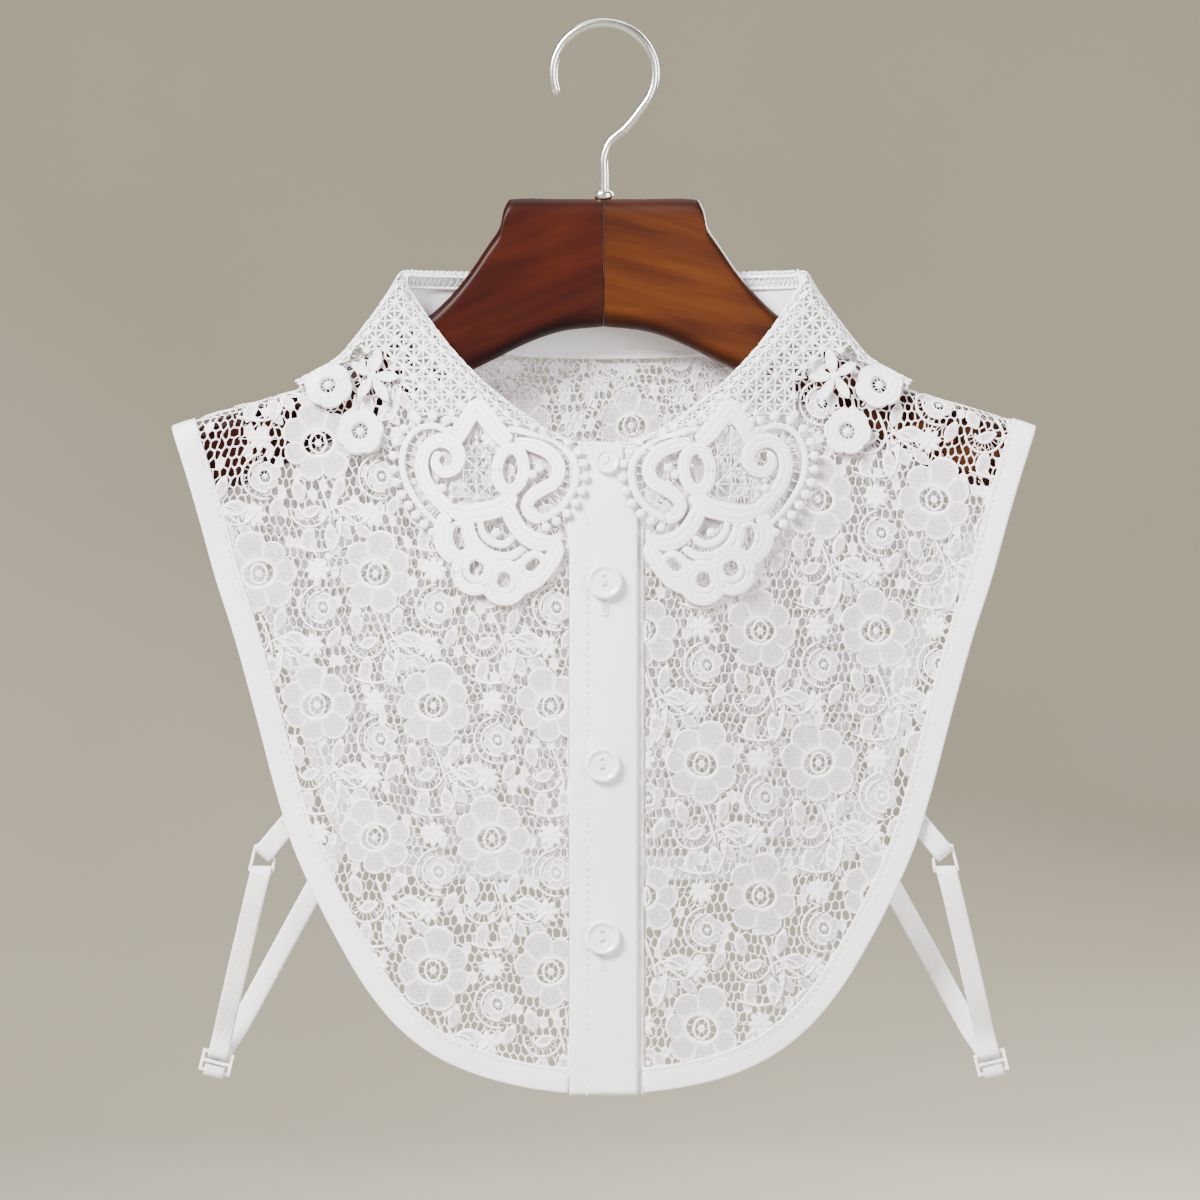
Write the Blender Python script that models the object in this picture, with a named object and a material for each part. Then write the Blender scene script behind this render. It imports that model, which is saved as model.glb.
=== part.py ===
"""A lace false collar, buttoned, on its contoured wooden hanger.

Sizes are millimetres until a mesh is made. The origin is the inner top of the hook, +Z is up, +X is
the viewer's right and the front of the garment faces -Y. Each cloth piece is cut flat in (x, z),
then draped: the flat point is carried onto the front or the back of the hanging garment and the
wall is made by moving it out along its normal.
"""
import math

import bpy
import numpy as np
from mathutils.geometry import delaunay_2d_cdt

MM = 0.001
SEAM_GAP = 0.3
CURVED_SEAM_GAP = 0.5
FRONT = -1.0
BACK = 1.0

# Walls
LACE_WALL = 1.2
BINDING_WALL = 2.0
BINDING_LIFT = 0.4
BAND_WALL = 1.8
BAND_LIFT = 0.3
STAND_WALL = 1.5
LEAF_WALL = 1.6
LEAF_LIFT = 2.8
LEAF_ROLL = (9.0, 4.5)  # at the neck, on the front and on the back
LEAF_ARM_ROLL = 12.0
ELASTIC_WALL = 1.0

# Widths
BINDING_WIDTH = 10.0
BAND_LEFT = -13.7
BAND_RIGHT = 13.3
UNDER_BAND_LEFT = -11.0
UNDER_BAND_RIGHT = 16.3
HEM_Z = -428.9
ELASTIC_WIDTH = 8.0
RIDGE_ROWS = (0.45, 1.0, 1.5)  # angles round the roll that always have a row of points
BUTTON_WALL = 2.4
BUTTON_DISH_DEPTH = 0.5

# Hanger
HANGER_WALL = 13.0
HANGER_SWEEP = 20.0
HANGER_REACH = 165.0
HANGER_EDGE_RADIUS = 5.8
HOOK_INNER_RADIUS = 19.0
HOOK_WIRE_RADIUS = 1.8
HOOK_FOOT_Z = -69.7
HANGER_SECTIONS = (  # x, top z, bottom z
    (0.15, -70.0, -121.8), (18.0, -70.0, -124.0), (34.0, -70.0, -130.0), (38.6, -70.8, -132.3),
    (40.2, -73.6, -133.2), (42.2, -81.8, -134.2), (47.0, -89.2, -136.6), (54.0, -99.6, -140.0),
    (62.0, -109.5, -144.0), (70.0, -117.2, -148.2), (80.0, -124.2, -153.5), (92.0, -132.4, -159.6),
    (104.0, -140.5, -165.8), (116.0, -147.2, -172.0), (130.0, -152.8, -179.0), (144.0, -156.8, -185.8),
    (156.0, -160.8, -189.4), (162.0, -163.4, -189.0), (165.6, -166.4, -186.2), (167.4, -171.0, -181.0),
)

# Ridge of the cloth where it rolls over the hanger's arms, and of the collar leaf above it
ROLL = 10.0
BODY_RIDGE = (  # x, z
    (60.0, -108.0), (80.0, -121.0), (104.0, -137.0), (116.0, -143.8), (125.0, -148.2), (143.6, -153.5),
    (160.0, -158.8), (176.0, -164.2),
)
LEAF_RIDGE = (  # x, z
    (82.2, -99.5), (88.6, -110.0), (97.8, -122.8), (107.0, -134.0), (116.2, -139.8), (126.0, -145.0),
)

# How far the cloth lies from the plane of the hook; columns after z are at these distances from x = 0
DEPTH_AT = (0.0, 25.0, 50.0, 80.0, 120.0, 165.0)
FRONT_DEPTH = (
    (-100.0, -33.0, -30.5, -23.0, -17.0, -23.0, -30.0),
    (-120.0, -40.0, -37.0, -28.0, -17.0, -23.0, -30.0),
    (-145.0, -47.0, -43.5, -37.0, -22.5, -23.5, -30.0),
    (-165.0, -51.5, -48.5, -42.5, -29.0, -25.0, -30.0),
    (-190.0, -55.5, -52.5, -46.5, -34.5, -27.5, -30.0),
    (-220.0, -57.5, -54.5, -49.0, -38.5, -30.0, -30.5),
    (-270.0, -57.5, -55.0, -50.5, -41.5, -33.0, -32.0),
    (-345.0, -54.5, -52.5, -49.0, -42.5, -36.0, -34.0),
    (-432.0, -49.5, -48.5, -46.0, -42.0, -37.5, -35.5),
)
BACK_DEPTH = (
    (-98.0, 13.0, 12.6, 10.6, 3.2, -3.0, -9.5),
    (-120.0, 14.5, 14.0, 12.2, 4.6, -2.5, -9.5),
    (-145.0, 16.0, 15.4, 13.2, 6.5, -1.5, -9.5),
    (-185.0, 18.0, 17.2, 15.0, 9.5, 1.5, -7.5),
    (-260.0, 18.5, 17.8, 16.0, 11.5, 5.5, -2.0),
    (-350.0, 15.5, 15.2, 14.0, 11.0, 8.0, 3.0),
)

# The neck, from the centre out: seam of the stand and fold of the leaf, on the front and on the back
NECK = (  # x, front seam z, back seam z, front fold z, back fold z, front fold y, back fold y
    (0.0, -177.5, -135.3, -168.6, -98.9, -37.6, 12.2),
    (12.0, -177.0, -135.2, -169.0, -98.9, -37.2, 12.1),
    (22.0, -174.0, -135.0, -165.0, -98.9, -36.6, 11.9),
    (34.0, -168.0, -134.3, -156.6, -98.9, -34.8, 11.4),
    (46.5, -158.8, -132.8, -146.6, -98.9, -30.0, 10.0),
    (56.0, -150.0, -130.6, -137.2, -98.9, -24.6, 7.6),
    (66.0, -140.4, -127.8, -125.2, -98.9, -16.8, 3.9),
    (74.0, -131.0, -124.6, -113.6, -99.0, -11.0, -0.9),
    (80.0, -121.0, -121.0, -104.0, -99.2, -8.2, -5.4),
    (82.2, -121.0, -121.0, -99.5, -99.5, -7.1, -7.1),
)
NECK_POINT_X = 80.0
LEAF_CORNER_X = 82.2
LEAF_END_X = 124.0
STAND_TOP_DROP = 2.4
STAND_FOOT_GAP = 1.0
STAND_LAP_END = 7.9
STAND_INNER_END = -11.0
STAND_LAP_SHIFT = (34.0, 18.0)  # the inner end sinks under the outer one from this x, over this length
STAND_LAST_STATION = 77.4

# Outer edges, from the shoulder to the hem
FRONT_EDGE = (  # x, z
    (176.4, -156.0), (173.5, -163.6), (166.8, -184.0), (161.8, -201.0), (155.6, -223.4), (148.0, -247.0),
    (139.5, -277.2), (129.5, -314.2), (124.4, -330.5), (116.2, -349.3), (106.0, -369.0), (93.6, -389.0),
    (81.6, -403.0), (68.1, -413.4), (51.1, -421.2), (32.0, -426.0), (14.0, -428.2), (0.0, -428.9),
)
BACK_EDGE = (  # x, z
    (176.6, -156.0), (173.8, -163.7), (168.2, -185.0), (159.6, -206.0), (147.0, -226.0), (134.6, -247.0),
    (125.4, -275.0), (118.4, -305.0), (110.6, -326.0), (96.0, -341.0), (70.0, -346.6), (35.0, -347.9),
    (0.0, -348.1),
)

# Lower edge of the lace leaf, from the shoulder to the front corner, and of its back
LEAF_EDGE = (  # x, z
    (124.0, -151.0), (119.9, -157.3), (111.6, -160.6), (108.2, -163.5), (108.0, -170.0), (104.3, -175.8),
    (97.8, -178.0), (92.4, -175.0), (89.4, -178.5), (88.4, -187.2), (84.9, -194.6), (80.3, -200.1),
    (74.8, -205.4), (68.5, -207.8), (66.6, -213.0), (62.9, -221.3), (55.5, -228.6), (49.0, -233.2),
    (38.9, -234.1), (33.4, -230.9), (26.0, -225.8), (20.5, -217.6), (17.6, -209.2), (19.0, -205.2),
    (15.0, -200.6), (10.4, -191.7), (8.1, -185.0), (9.4, -178.0), (10.8, -173.4),
)
LEAF_BACK_EDGE_Z = -160.0
LEAF_BACK_END_RISE = 8.0
LEAF_BACK_SCALLOPS = 8
LEAF_BACK_SCALLOP_DEPTH = 4.0
LEAF_BACK_GAPS = ((15.5, -158.0), (46.5, -156.0), (77.5, -153.0), (105.0, -150.0))  # x, z
LEAF_BACK_GAP = (2.6, 2.4)

# Gaps of the guipure leaf that are wider than 4 mm
LEAF_GAPS = (  # x, z, half length, half width, turn in degrees from +x
    (112.5, -148.6, 2.9, 2.7, 0.0), (99.0, -165.8, 2.8, 2.7, 0.0),
    (101.6, -134.6, 2.4, 2.2, 0.0), (101.4, -144.8, 2.8, 1.9, 20.0), (94.0, -153.2, 2.3, 2.0, 90.0),
    (86.2, -150.2, 3.0, 2.2, 30.0), (88.2, -159.0, 3.0, 2.3, -30.0),
    (65.4, -176.2, 3.4, 2.3, 10.0), (70.6, -181.6, 4.4, 1.5, 72.0), (64.4, -189.0, 3.2, 2.9, 0.0),
    (50.4, -166.2, 2.7, 2.0, 90.0), (53.2, -174.0, 2.2, 2.0, 0.0), (47.6, -176.0, 2.4, 2.1, 0.0),
    (55.8, -182.8, 2.4, 2.2, 0.0), (50.2, -184.4, 2.3, 2.2, 0.0), (38.9, -182.1, 5.4, 2.9, 84.0),
    (27.2, -181.2, 3.2, 3.0, 0.0), (25.6, -196.6, 4.2, 2.3, -12.0), (34.6, -197.4, 3.0, 1.3, 100.0),
    (57.9, -206.8, 4.4, 3.2, 90.0), (50.0, -206.0, 3.4, 2.2, 95.0), (42.4, -206.8, 3.9, 2.8, 80.0),
    (33.4, -205.4, 2.2, 1.4, 60.0), (29.2, -208.2, 2.1, 1.3, 40.0),
    (54.1, -220.3, 2.1, 1.7, 0.0), (41.9, -225.3, 2.9, 2.6, 0.0), (30.6, -217.8, 4.0, 3.0, 20.0),
    (46.6, -216.2, 3.4, 1.3, -6.0),
)
LADDER_CENTRE = (65.6, -178.9)
LADDER_RADIUS = 15.4
LADDER_FIRST = 72.0
LADDER_LAST = -62.0
LADDER_COUNT = 10
LADDER_GAP = (2.1, 1.3)

# The floral lace: rosettes on a half drop, with the widest gaps of the net on both sides of each
FLOWER_STEP_X = 46.8
FLOWER_STEP_Z = 52.5
LEFT_FLOWER = (-67.7, -275.0)
RIGHT_FLOWER = (62.2, -245.3)
BACK_FLOWER = (-12.0, -214.0)
FLOWER_GAPS = (  # x and z from the rosette's centre, half length, half width, turn
    (-17.0, 2.0, 3.0, 1.8, 80.0), (17.0, -2.0, 3.0, 1.8, 80.0),
    (-4.0, -20.5, 2.9, 1.8, 10.0), (12.0, 17.5, 2.8, 1.8, -40.0),
)
SHOULDER_SLOTS = 5
SHOULDER_SLOT_PITCH = 5.2
SHOULDER_SLOT_START = (155.0, -176.0)
SHOULDER_SLOT = (3.0, 1.5, -20.0)  # half length, half width, turn

# Buttons: x, z, diameter; the other sizes are shares of the radius
BUTTONS = ((1.3, -178.6, 10.0), (0.4, -225.8, 14.0), (-0.4, -297.9, 14.0), (-0.4, -366.0, 14.0))
BUTTON_RIM = 0.82
BUTTON_DISH = 0.70
BUTTON_HOLE = 0.115
BUTTON_HOLE_PLACE = 0.22

# Elastic loops at the sides, front to back; y is the distance in front of (-) or behind the hook
TAB_START = (124.6, -31.9, -320.6)
RING_TOP = (135.4, -29.9, -333.4)
RING_FOOT = (137.2, -29.9, -341.8)
SLIDER = (156.4, -13.0, -419.6)
BACK_LEG_END = (106.8, 5.0, -330.0)
RING_BAR = 0.8
SLIDER_BAR = 1.2
SLIDER_REACH = 4.4
RING_SLACK = 2.0
SLIDER_SLACK = 1.2
RING_BAR_REACH = 1.0
LOOP_RADIUS = 2.1
LOOP_TAIL = (7.6, 5.0)  # how far the sewn-down end of a loop runs past the bar
LOOP_START = (5.2, 1.6)  # how far the leg's own run starts past the bar: long tail, short tail
LOOP_STUB = 2.4

WHITE_COTTON = ("white_cotton", (0.90, 0.89, 0.90), 0.85, 0.0)
FLORAL_LACE = ("floral_lace", (0.86, 0.84, 0.87), 0.8, 0.0)
GUIPURE = ("guipure", (0.95, 0.95, 0.95), 0.8, 0.0)
ELASTIC = ("elastic", (0.88, 0.87, 0.89), 0.7, 0.0)
PLASTIC = ("white_plastic", (0.93, 0.93, 0.93), 0.3, 0.0)
DARK_WOOD = ("dark_wood", (0.30, 0.09, 0.03), 0.3, 0.0)
LIGHT_WOOD = ("light_wood", (0.42, 0.16, 0.05), 0.3, 0.0)
STEEL = ("steel", (0.75, 0.75, 0.76), 0.25, 1.0)


def make_material(finish):
    """Return the material of a finish: name, colour, roughness and metallic value."""
    name, colour, roughness, metallic = finish
    material = bpy.data.materials.get(name)
    if material is None:
        material = bpy.data.materials.new(name)
        material.use_nodes = True
        shader = material.node_tree.nodes["Principled BSDF"]
        shader.inputs["Base Color"].default_value = (*colour, 1.0)
        shader.inputs["Roughness"].default_value = roughness
        shader.inputs["Metallic"].default_value = metallic
    return material


def add_object(name, points, faces, finish):
    """Make one object from points in millimetres and faces that look outward."""
    mesh = bpy.data.meshes.new(name)
    mesh.from_pydata([tuple(p) for p in np.asarray(points) * MM], [], faces)
    mesh.materials.append(make_material(finish))
    mesh.update()
    item = bpy.data.objects.new(name, mesh)
    bpy.context.scene.collection.objects.link(item)
    return item


def through(knots, values, at, level_start=False):
    """Read a smooth curve through the values, which run along the last axis, at each place."""
    knots = np.asarray(knots, float)
    at = np.clip(np.asarray(at, float), knots[0], knots[-1])
    values = np.broadcast_to(np.asarray(values, float), at.shape + knots.shape)
    slopes = np.gradient(values, knots, axis=-1)
    if level_start:
        slopes[..., 0] = 0.0
    start = np.clip(np.searchsorted(knots, at, side="right") - 1, 0, len(knots) - 2)
    index = start[..., None]
    span = knots[start + 1] - knots[start]
    t = (at - knots[start]) / span
    v0 = np.take_along_axis(values, index, -1)[..., 0]
    v1 = np.take_along_axis(values, index + 1, -1)[..., 0]
    m0 = np.take_along_axis(slopes, index, -1)[..., 0] * span
    m1 = np.take_along_axis(slopes, index + 1, -1)[..., 0] * span
    return ((2 * t**3 - 3 * t**2 + 1) * v0 + (t**3 - 2 * t**2 + t) * m0
            + (3 * t**2 - 2 * t**3) * v1 + (t**3 - t**2) * m1)


def unit(vector):
    """Return a vector of length one."""
    vector = np.asarray(vector, float)
    return vector / np.linalg.norm(vector)


def column(rows, index):
    """Return one column of a table."""
    return np.array([row[index] for row in rows], float)


def table_depth(rows, x, z):
    """Read a depth table, whose first column is z, at x and z."""
    heights = -column(rows, 0)
    across = [through(heights, column(rows, i + 1), -z) for i in range(len(DEPTH_AT))]
    return through(DEPTH_AT, np.stack(across, axis=-1), np.abs(x), level_start=True)


def hang_wave(x, z):
    """Return the soft upright waves of the cloth, which grow towards the hem."""
    fall = np.clip((-190.0 - z) / 220.0, 0.0, 1.0)
    away = 1.0 - np.exp(-((x / 42.0) ** 2))
    return 1.3 * fall * away * np.sin(x / 10.5 + 0.8 * np.sin(z / 47.0))


def body_depth(side, x, z):
    """Return y of the flat part of the front or back, on its outer face."""
    rows = FRONT_DEPTH if side == FRONT else BACK_DEPTH
    return table_depth(rows, x, z) + hang_wave(x, z)


def arm_depth(x):
    """Return y of the middle of the hanger, whose arms sweep forward."""
    return -HANGER_SWEEP * (np.abs(x) / HANGER_REACH) ** 1.5


def body_top(side, x):
    """Return the height of the ridge of the body cloth, its roll and its depth there."""
    x = np.abs(x)
    ridge = through(column(BODY_RIDGE, 0), column(BODY_RIDGE, 1), x)
    inner = BODY_RIDGE[0]
    ridge = np.where(x < inner[0], inner[1] + 0.65 * (inner[0] - x), ridge)
    return ridge, np.full_like(ridge, ROLL), arm_depth(x)


def leaf_top(side, x):
    """Return the height of the leaf's fold or ridge, its roll and its depth there."""
    x = np.abs(x)
    fold = 3 if side == FRONT else 4
    height = np.where(x < LEAF_CORNER_X,
                      through(column(NECK, 0), column(NECK, fold), x),
                      through(column(LEAF_RIDGE, 0), column(LEAF_RIDGE, 1), x))
    depth = np.where(x < LEAF_CORNER_X,
                     through(column(NECK, 0), column(NECK, fold + 2), x),
                     arm_depth(x))
    near = LEAF_ROLL[0 if side == FRONT else 1]
    blend = np.clip((x - 45.0) / 37.0, 0.0, 1.0)
    return height, near + (LEAF_ARM_ROLL - near) * blend, depth


def leaf_depth(side, x, z):
    """Return y of the flat part of the leaf, which lies on the body."""
    return body_depth(side, x, z) + side * LEAF_LIFT


def drape(top, depth, side):
    """Return the function that carries flat points (x, z) onto the hanging cloth."""
    def place(flat):
        x, v = flat[:, 0], flat[:, 1]
        ridge, roll, start = top(side, x)
        slip = np.maximum(ridge + roll * (math.pi / 2 - 1.0) - v, 0.0)
        angle = np.minimum(slip / roll, math.pi / 2)
        z = ridge - roll * (1.0 - np.cos(angle)) - np.maximum(slip - roll * math.pi / 2, 0.0)
        y = start + (depth(side, x, z) - start) * np.sin(angle)
        return np.column_stack([x, y, z])
    return place


def unroll(top, side, points):
    """Return the flat points of a piece that is given by its outline seen from the front."""
    points = np.asarray(points, float)
    x, z = points[:, 0], points[:, 1]
    ridge, roll, _ = top(side, x)
    drop = np.clip(ridge - z, 0.0, None)
    rolled = roll * np.arccos(np.clip(1.0 - drop / roll, -1.0, 1.0))
    flat = ridge + roll * (math.pi / 2 - 1.0) - rolled
    return np.column_stack([x, np.where(drop < roll, flat, z)])


def smooth_line(points, step=5.0):
    """Return a smooth line through the points, with a point about every step."""
    points = np.asarray(points, float)
    chord = np.concatenate([[0.0], np.cumsum(np.linalg.norm(np.diff(points, axis=0), axis=1))])
    at = np.linspace(0.0, chord[-1], max(2, int(chord[-1] / step)) + 1)
    return np.column_stack([through(chord, points[:, i], at) for i in range(points.shape[1])])


def moved_line(line, distance):
    """Return a 2D line moved to its left by a distance."""
    along = np.gradient(line, axis=0)
    along /= np.linalg.norm(along, axis=1)[:, None]
    return line + distance * np.column_stack([-along[:, 1], along[:, 0]])


def inside(points, polygon):
    """Return which 2D points lie inside a closed polygon."""
    x, y = points[:, 0][:, None], points[:, 1][:, None]
    x0, y0 = polygon[:, 0], polygon[:, 1]
    x1, y1 = np.roll(x0, -1), np.roll(y0, -1)
    crosses = (y0 > y) != (y1 > y)
    rise = np.where(y1 == y0, 1.0, y1 - y0)
    return (np.sum(crosses & (x < x0 + (y - y0) / rise * (x1 - x0)), axis=1) % 2) == 1


def refine(outline, step):
    """Return a closed outline with no side longer than a step."""
    pieces = []
    for start, end in zip(outline, np.roll(outline, -1, axis=0)):
        count = max(1, math.ceil(np.linalg.norm(end - start) / step))
        pieces.append(start + (end - start) * np.arange(count)[:, None] / count)
    return np.vstack(pieces)


def fill_points(outline, holes, step, rows):
    """Return points over the inside of a flat piece: an even net, and rows below its top edge."""
    low, high = outline.min(axis=0), outline.max(axis=0)
    xs = np.arange(low[0] + step / 2, high[0], step)
    zs = np.arange(low[1] + step / 2, high[1], step)
    net = np.array([(x + (j % 2) * step / 2, z) for j, z in enumerate(zs) for x in xs])
    points = np.vstack([net] + [row for row in rows])
    keep = inside(points, outline)
    edges = np.vstack([outline] + list(holes))
    away = np.linalg.norm(points[:, None] - edges[None], axis=2).min(axis=1)
    keep &= away > 2.2
    for hole in holes:
        keep &= ~inside(points, hole)
    points = points[keep]
    chosen = []
    for point in points[::-1]:
        if all(np.linalg.norm(point - other) > 2.6 for other in chosen):
            chosen.append(point)
    return np.array(chosen).reshape(-1, 2)


def triangulate(outline, holes, rings=(), inner=()):
    """Triangulate a flat shape with holes; rings and inner points become corners inside it."""
    points, edges = [], []
    for loop in [outline, *holes, *rings]:
        first = len(points)
        points.extend(map(tuple, loop))
        edges.extend((first + i, first + (i + 1) % len(loop)) for i in range(len(loop)))
    points.extend(map(tuple, inner))
    found = delaunay_2d_cdt(points, edges, [], 0, 1e-6)
    flat = np.array([tuple(p) for p in found[0]])
    triangles = np.array([tuple(face) for face in found[2]])
    middles = flat[triangles].mean(axis=1)
    keep = inside(middles, outline)
    for hole in holes:
        keep &= ~inside(middles, hole)
    return flat, triangles[keep]


def cut_flat(outline, holes, step, rows):
    """Triangulate a flat piece of cloth, leaving out the holes that come too near its edge."""
    holes = [hole for hole in holes if inside(hole, outline).all()
             and np.linalg.norm(hole[:, None] - outline[None], axis=2).min() > 1.2]
    return triangulate(outline, holes, inner=fill_points(outline, holes, step, rows))


def normals_of(place, flat, side):
    """Return the normals of a draped piece, which look out of the garment."""
    small = 0.02
    ahead = place(flat + (small, 0.0)) - place(flat - (small, 0.0))
    down = place(flat - (0.0, small)) - place(flat)
    normal = np.cross(ahead, down) * side
    return normal / np.linalg.norm(normal, axis=1)[:, None]


def wall_faces(flat, triangles, turns_left):
    """Return the faces of a wall whose outer points come first, and its inner points after them."""
    a, b, c = (flat[triangles[:, i]] for i in range(3))
    turn = (b[:, 0] - a[:, 0]) * (c[:, 1] - a[:, 1]) - (b[:, 1] - a[:, 1]) * (c[:, 0] - a[:, 0])
    flip = (turn > 0) != turns_left
    triangles = triangles.copy()
    triangles[flip] = triangles[flip][:, ::-1]
    count = len(flat)
    faces = [tuple(t) for t in triangles] + [tuple(t[::-1] + count) for t in triangles]
    directed = {(t[i], t[(i + 1) % 3]) for t in triangles.tolist() for i in range(3)}
    for start, end in sorted(directed):
        if (end, start) not in directed:
            faces += [(end, start, start + count), (end, start + count, end + count)]
    return faces


def add_wall(name, flat, triangles, place, side, lift, wall, finish):
    """Make the wall over flat triangles: an outer and an inner face joined along every edge."""
    used = np.unique(triangles)
    order = np.full(len(flat), -1)
    order[used] = np.arange(len(used))
    flat, triangles = flat[used], order[triangles]
    middle = place(flat)
    normal = normals_of(place, flat, side)
    points = np.vstack([middle + normal * lift, middle + normal * (lift - wall)])
    return add_object(name, points, wall_faces(flat, triangles, side == FRONT), finish)


def add_cloth(name, outline, side, finish, wall, lift=0.0, layer="body", holes=(), step=19.0, edge=9.0):
    """Cut, drape and thicken one piece that is given by its outline seen from the front."""
    top, depth = (body_top, body_depth) if layer == "body" else (leaf_top, leaf_depth)
    outline = refine(unroll(top, side, outline), edge)
    xs = np.arange(outline[:, 0].min() + 3.0, outline[:, 0].max(), 10.0)
    ridge, roll, _ = top(side, xs)
    rows = [np.column_stack([xs, ridge + roll * (math.pi / 2 - 1.0) - roll * angle])
            for angle in RIDGE_ROWS]
    holes = [unroll(top, side, hole) for hole in holes]
    flat, triangles = cut_flat(outline, holes, step, rows)
    return add_wall(name, flat, triangles, drape(top, depth, side), side, lift, wall, finish)


def gap_shape(x, z, length, width, turn, corners=6):
    """Return the corners of an oval gap."""
    angles = np.arange(corners) * 2.0 * math.pi / corners
    tilt = math.radians(turn)
    u, w = length * np.cos(angles), width * np.sin(angles)
    return np.column_stack([x + u * math.cos(tilt) - w * math.sin(tilt),
                            z + u * math.sin(tilt) + w * math.cos(tilt)])


def leaf_gaps(sign):
    """Return the gaps of one front half of the leaf; sign is -1 on the viewer's left."""
    gaps = [gap_shape(*row) for row in LEAF_GAPS]
    for turn in np.linspace(LADDER_FIRST, LADDER_LAST, LADDER_COUNT):
        angle = math.radians(turn)
        gaps.append(gap_shape(LADDER_CENTRE[0] + LADDER_RADIUS * math.cos(angle),
                              LADDER_CENTRE[1] + LADDER_RADIUS * math.sin(angle),
                              LADDER_GAP[0], LADDER_GAP[1], turn, 4))
    return [gap * (sign, 1.0) for gap in gaps]


def flower_centres(origin, rows, columns):
    """Return the centres of the rosettes of one panel, on a half drop."""
    return [(origin[0] + FLOWER_STEP_X * (i + 0.5 * (j % 2)), origin[1] + FLOWER_STEP_Z * j)
            for j in range(-rows, rows + 1) for i in range(-columns, columns + 1)]


def flower_gaps(origin, kinds):
    """Return the widest gaps of a panel's floral lace, the first few kinds at each rosette."""
    return [gap_shape(x + dx, z + dz, length, width, turn, 4)
            for x, z in flower_centres(origin, 4, 3) for dx, dz, length, width, turn in FLOWER_GAPS[:kinds]]


def shoulder_slots(sign):
    """Return the row of upright slots beside the armhole."""
    x, z = SHOULDER_SLOT_START
    length, width, turn = SHOULDER_SLOT
    return [gap_shape(sign * (x - 0.30 * SHOULDER_SLOT_PITCH * i), z - SHOULDER_SLOT_PITCH * i,
                      length, width, turn * sign, 4) for i in range(SHOULDER_SLOTS)]


def edge_lines(rows):
    """Return the outer edge of a panel and the inner line of its binding, shoulder first."""
    outer = smooth_line(rows, 7.0)
    inner = moved_line(outer, -BINDING_WIDTH)
    panel = moved_line(outer, -BINDING_WIDTH - SEAM_GAP)
    return outer, inner, panel


def shoulder_line(first_x, last_x):
    """Return points along the shoulder seam, half a gap off the ridge."""
    xs = np.linspace(first_x, last_x, max(2, int(abs(last_x - first_x) / 7.0)))
    ridge, _, _ = body_top(FRONT, xs)
    return np.column_stack([xs, ridge])


def below_ridge(line):
    """Cut off the part of a line above the shoulder seam and start it on the seam."""
    ridge, _, _ = body_top(FRONT, line[:, 0])
    kept = line[line[:, 1] < ridge - 0.4]
    start_x = kept[0, 0] + (kept[0, 0] - kept[1, 0]) * 0.5
    start = np.array([[start_x, body_top(FRONT, np.array([start_x]))[0][0]]])
    return np.vstack([start, kept])


def trimmed(line, least_x):
    """Cut a line off at a distance from the centre."""
    kept = line[line[:, 0] > least_x + 0.5]
    z = np.interp(least_x, line[::-1, 0], line[::-1, 1])
    return np.vstack([kept, [(least_x, z)]])


def neck_seam(side, least_x):
    """Return the seam of the neck from near the centre to the neck point, below the stand."""
    index = 1 if side == FRONT else 2
    xs = np.linspace(least_x, NECK_POINT_X, 14)
    z = through(column(NECK, 0), column(NECK, index), xs)
    return np.column_stack([xs, z - CURVED_SEAM_GAP])


def half_gap_drape(outline):
    """Lower the points on the ridge by half a seam gap along the cloth."""
    ridge, roll, _ = body_top(FRONT, outline[:, 0])
    drop = roll * (1.0 - math.cos(0.5 * CURVED_SEAM_GAP / ROLL))
    return np.column_stack([outline[:, 0], np.minimum(outline[:, 1], ridge - drop)])


def build_fronts():
    """Make both front panels and their bindings."""
    outer, inner, panel = edge_lines(FRONT_EDGE)
    for name, sign, centre, flower in (("left", -1.0, -BAND_LEFT + SEAM_GAP, LEFT_FLOWER),
                                       ("right", 1.0, UNDER_BAND_RIGHT + SEAM_GAP, RIGHT_FLOWER)):
        strip = np.vstack([trimmed(below_ridge(outer), centre),
                           trimmed(below_ridge(inner), centre)[::-1]])
        side_line = trimmed(below_ridge(panel), centre)
        shape = np.vstack([side_line, neck_seam(FRONT, centre),
                           shoulder_line(NECK_POINT_X + 4.0, side_line[0, 0] - 4.0)])
        mirror = np.array([sign, 1.0])
        add_cloth("front_panel_" + name, half_gap_drape(shape) * mirror, FRONT, FLORAL_LACE, LACE_WALL,
                  holes=flower_gaps(flower, 4) + shoulder_slots(sign))
        add_cloth("binding_front_" + name, half_gap_drape(strip) * mirror, FRONT, WHITE_COTTON,
                  BINDING_WALL, BINDING_LIFT)


def build_back():
    """Make the back panel, which is shorter and narrower, and its binding."""
    outer, inner, panel = edge_lines(BACK_EDGE)
    mirror = np.array([-1.0, 1.0])
    outer, inner, panel = (below_ridge(line) for line in (outer, inner, panel))
    strip = np.vstack([outer, outer[-2::-1] * mirror, inner[:-1] * mirror, inner[::-1]])
    seam = neck_seam(BACK, 0.0)
    half = np.vstack([shoulder_line(panel[0, 0] - 4.0, NECK_POINT_X + 4.0), seam[:0:-1]])
    shape = np.vstack([panel[::-1], half, seam[:1], half[::-1] * mirror, panel[:-1] * mirror])
    add_cloth("back_panel", half_gap_drape(shape), BACK, FLORAL_LACE, LACE_WALL,
              holes=flower_gaps(BACK_FLOWER, 2))
    add_cloth("binding_back", half_gap_drape(strip), BACK, WHITE_COTTON, BINDING_WALL, BINDING_LIFT)


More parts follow.
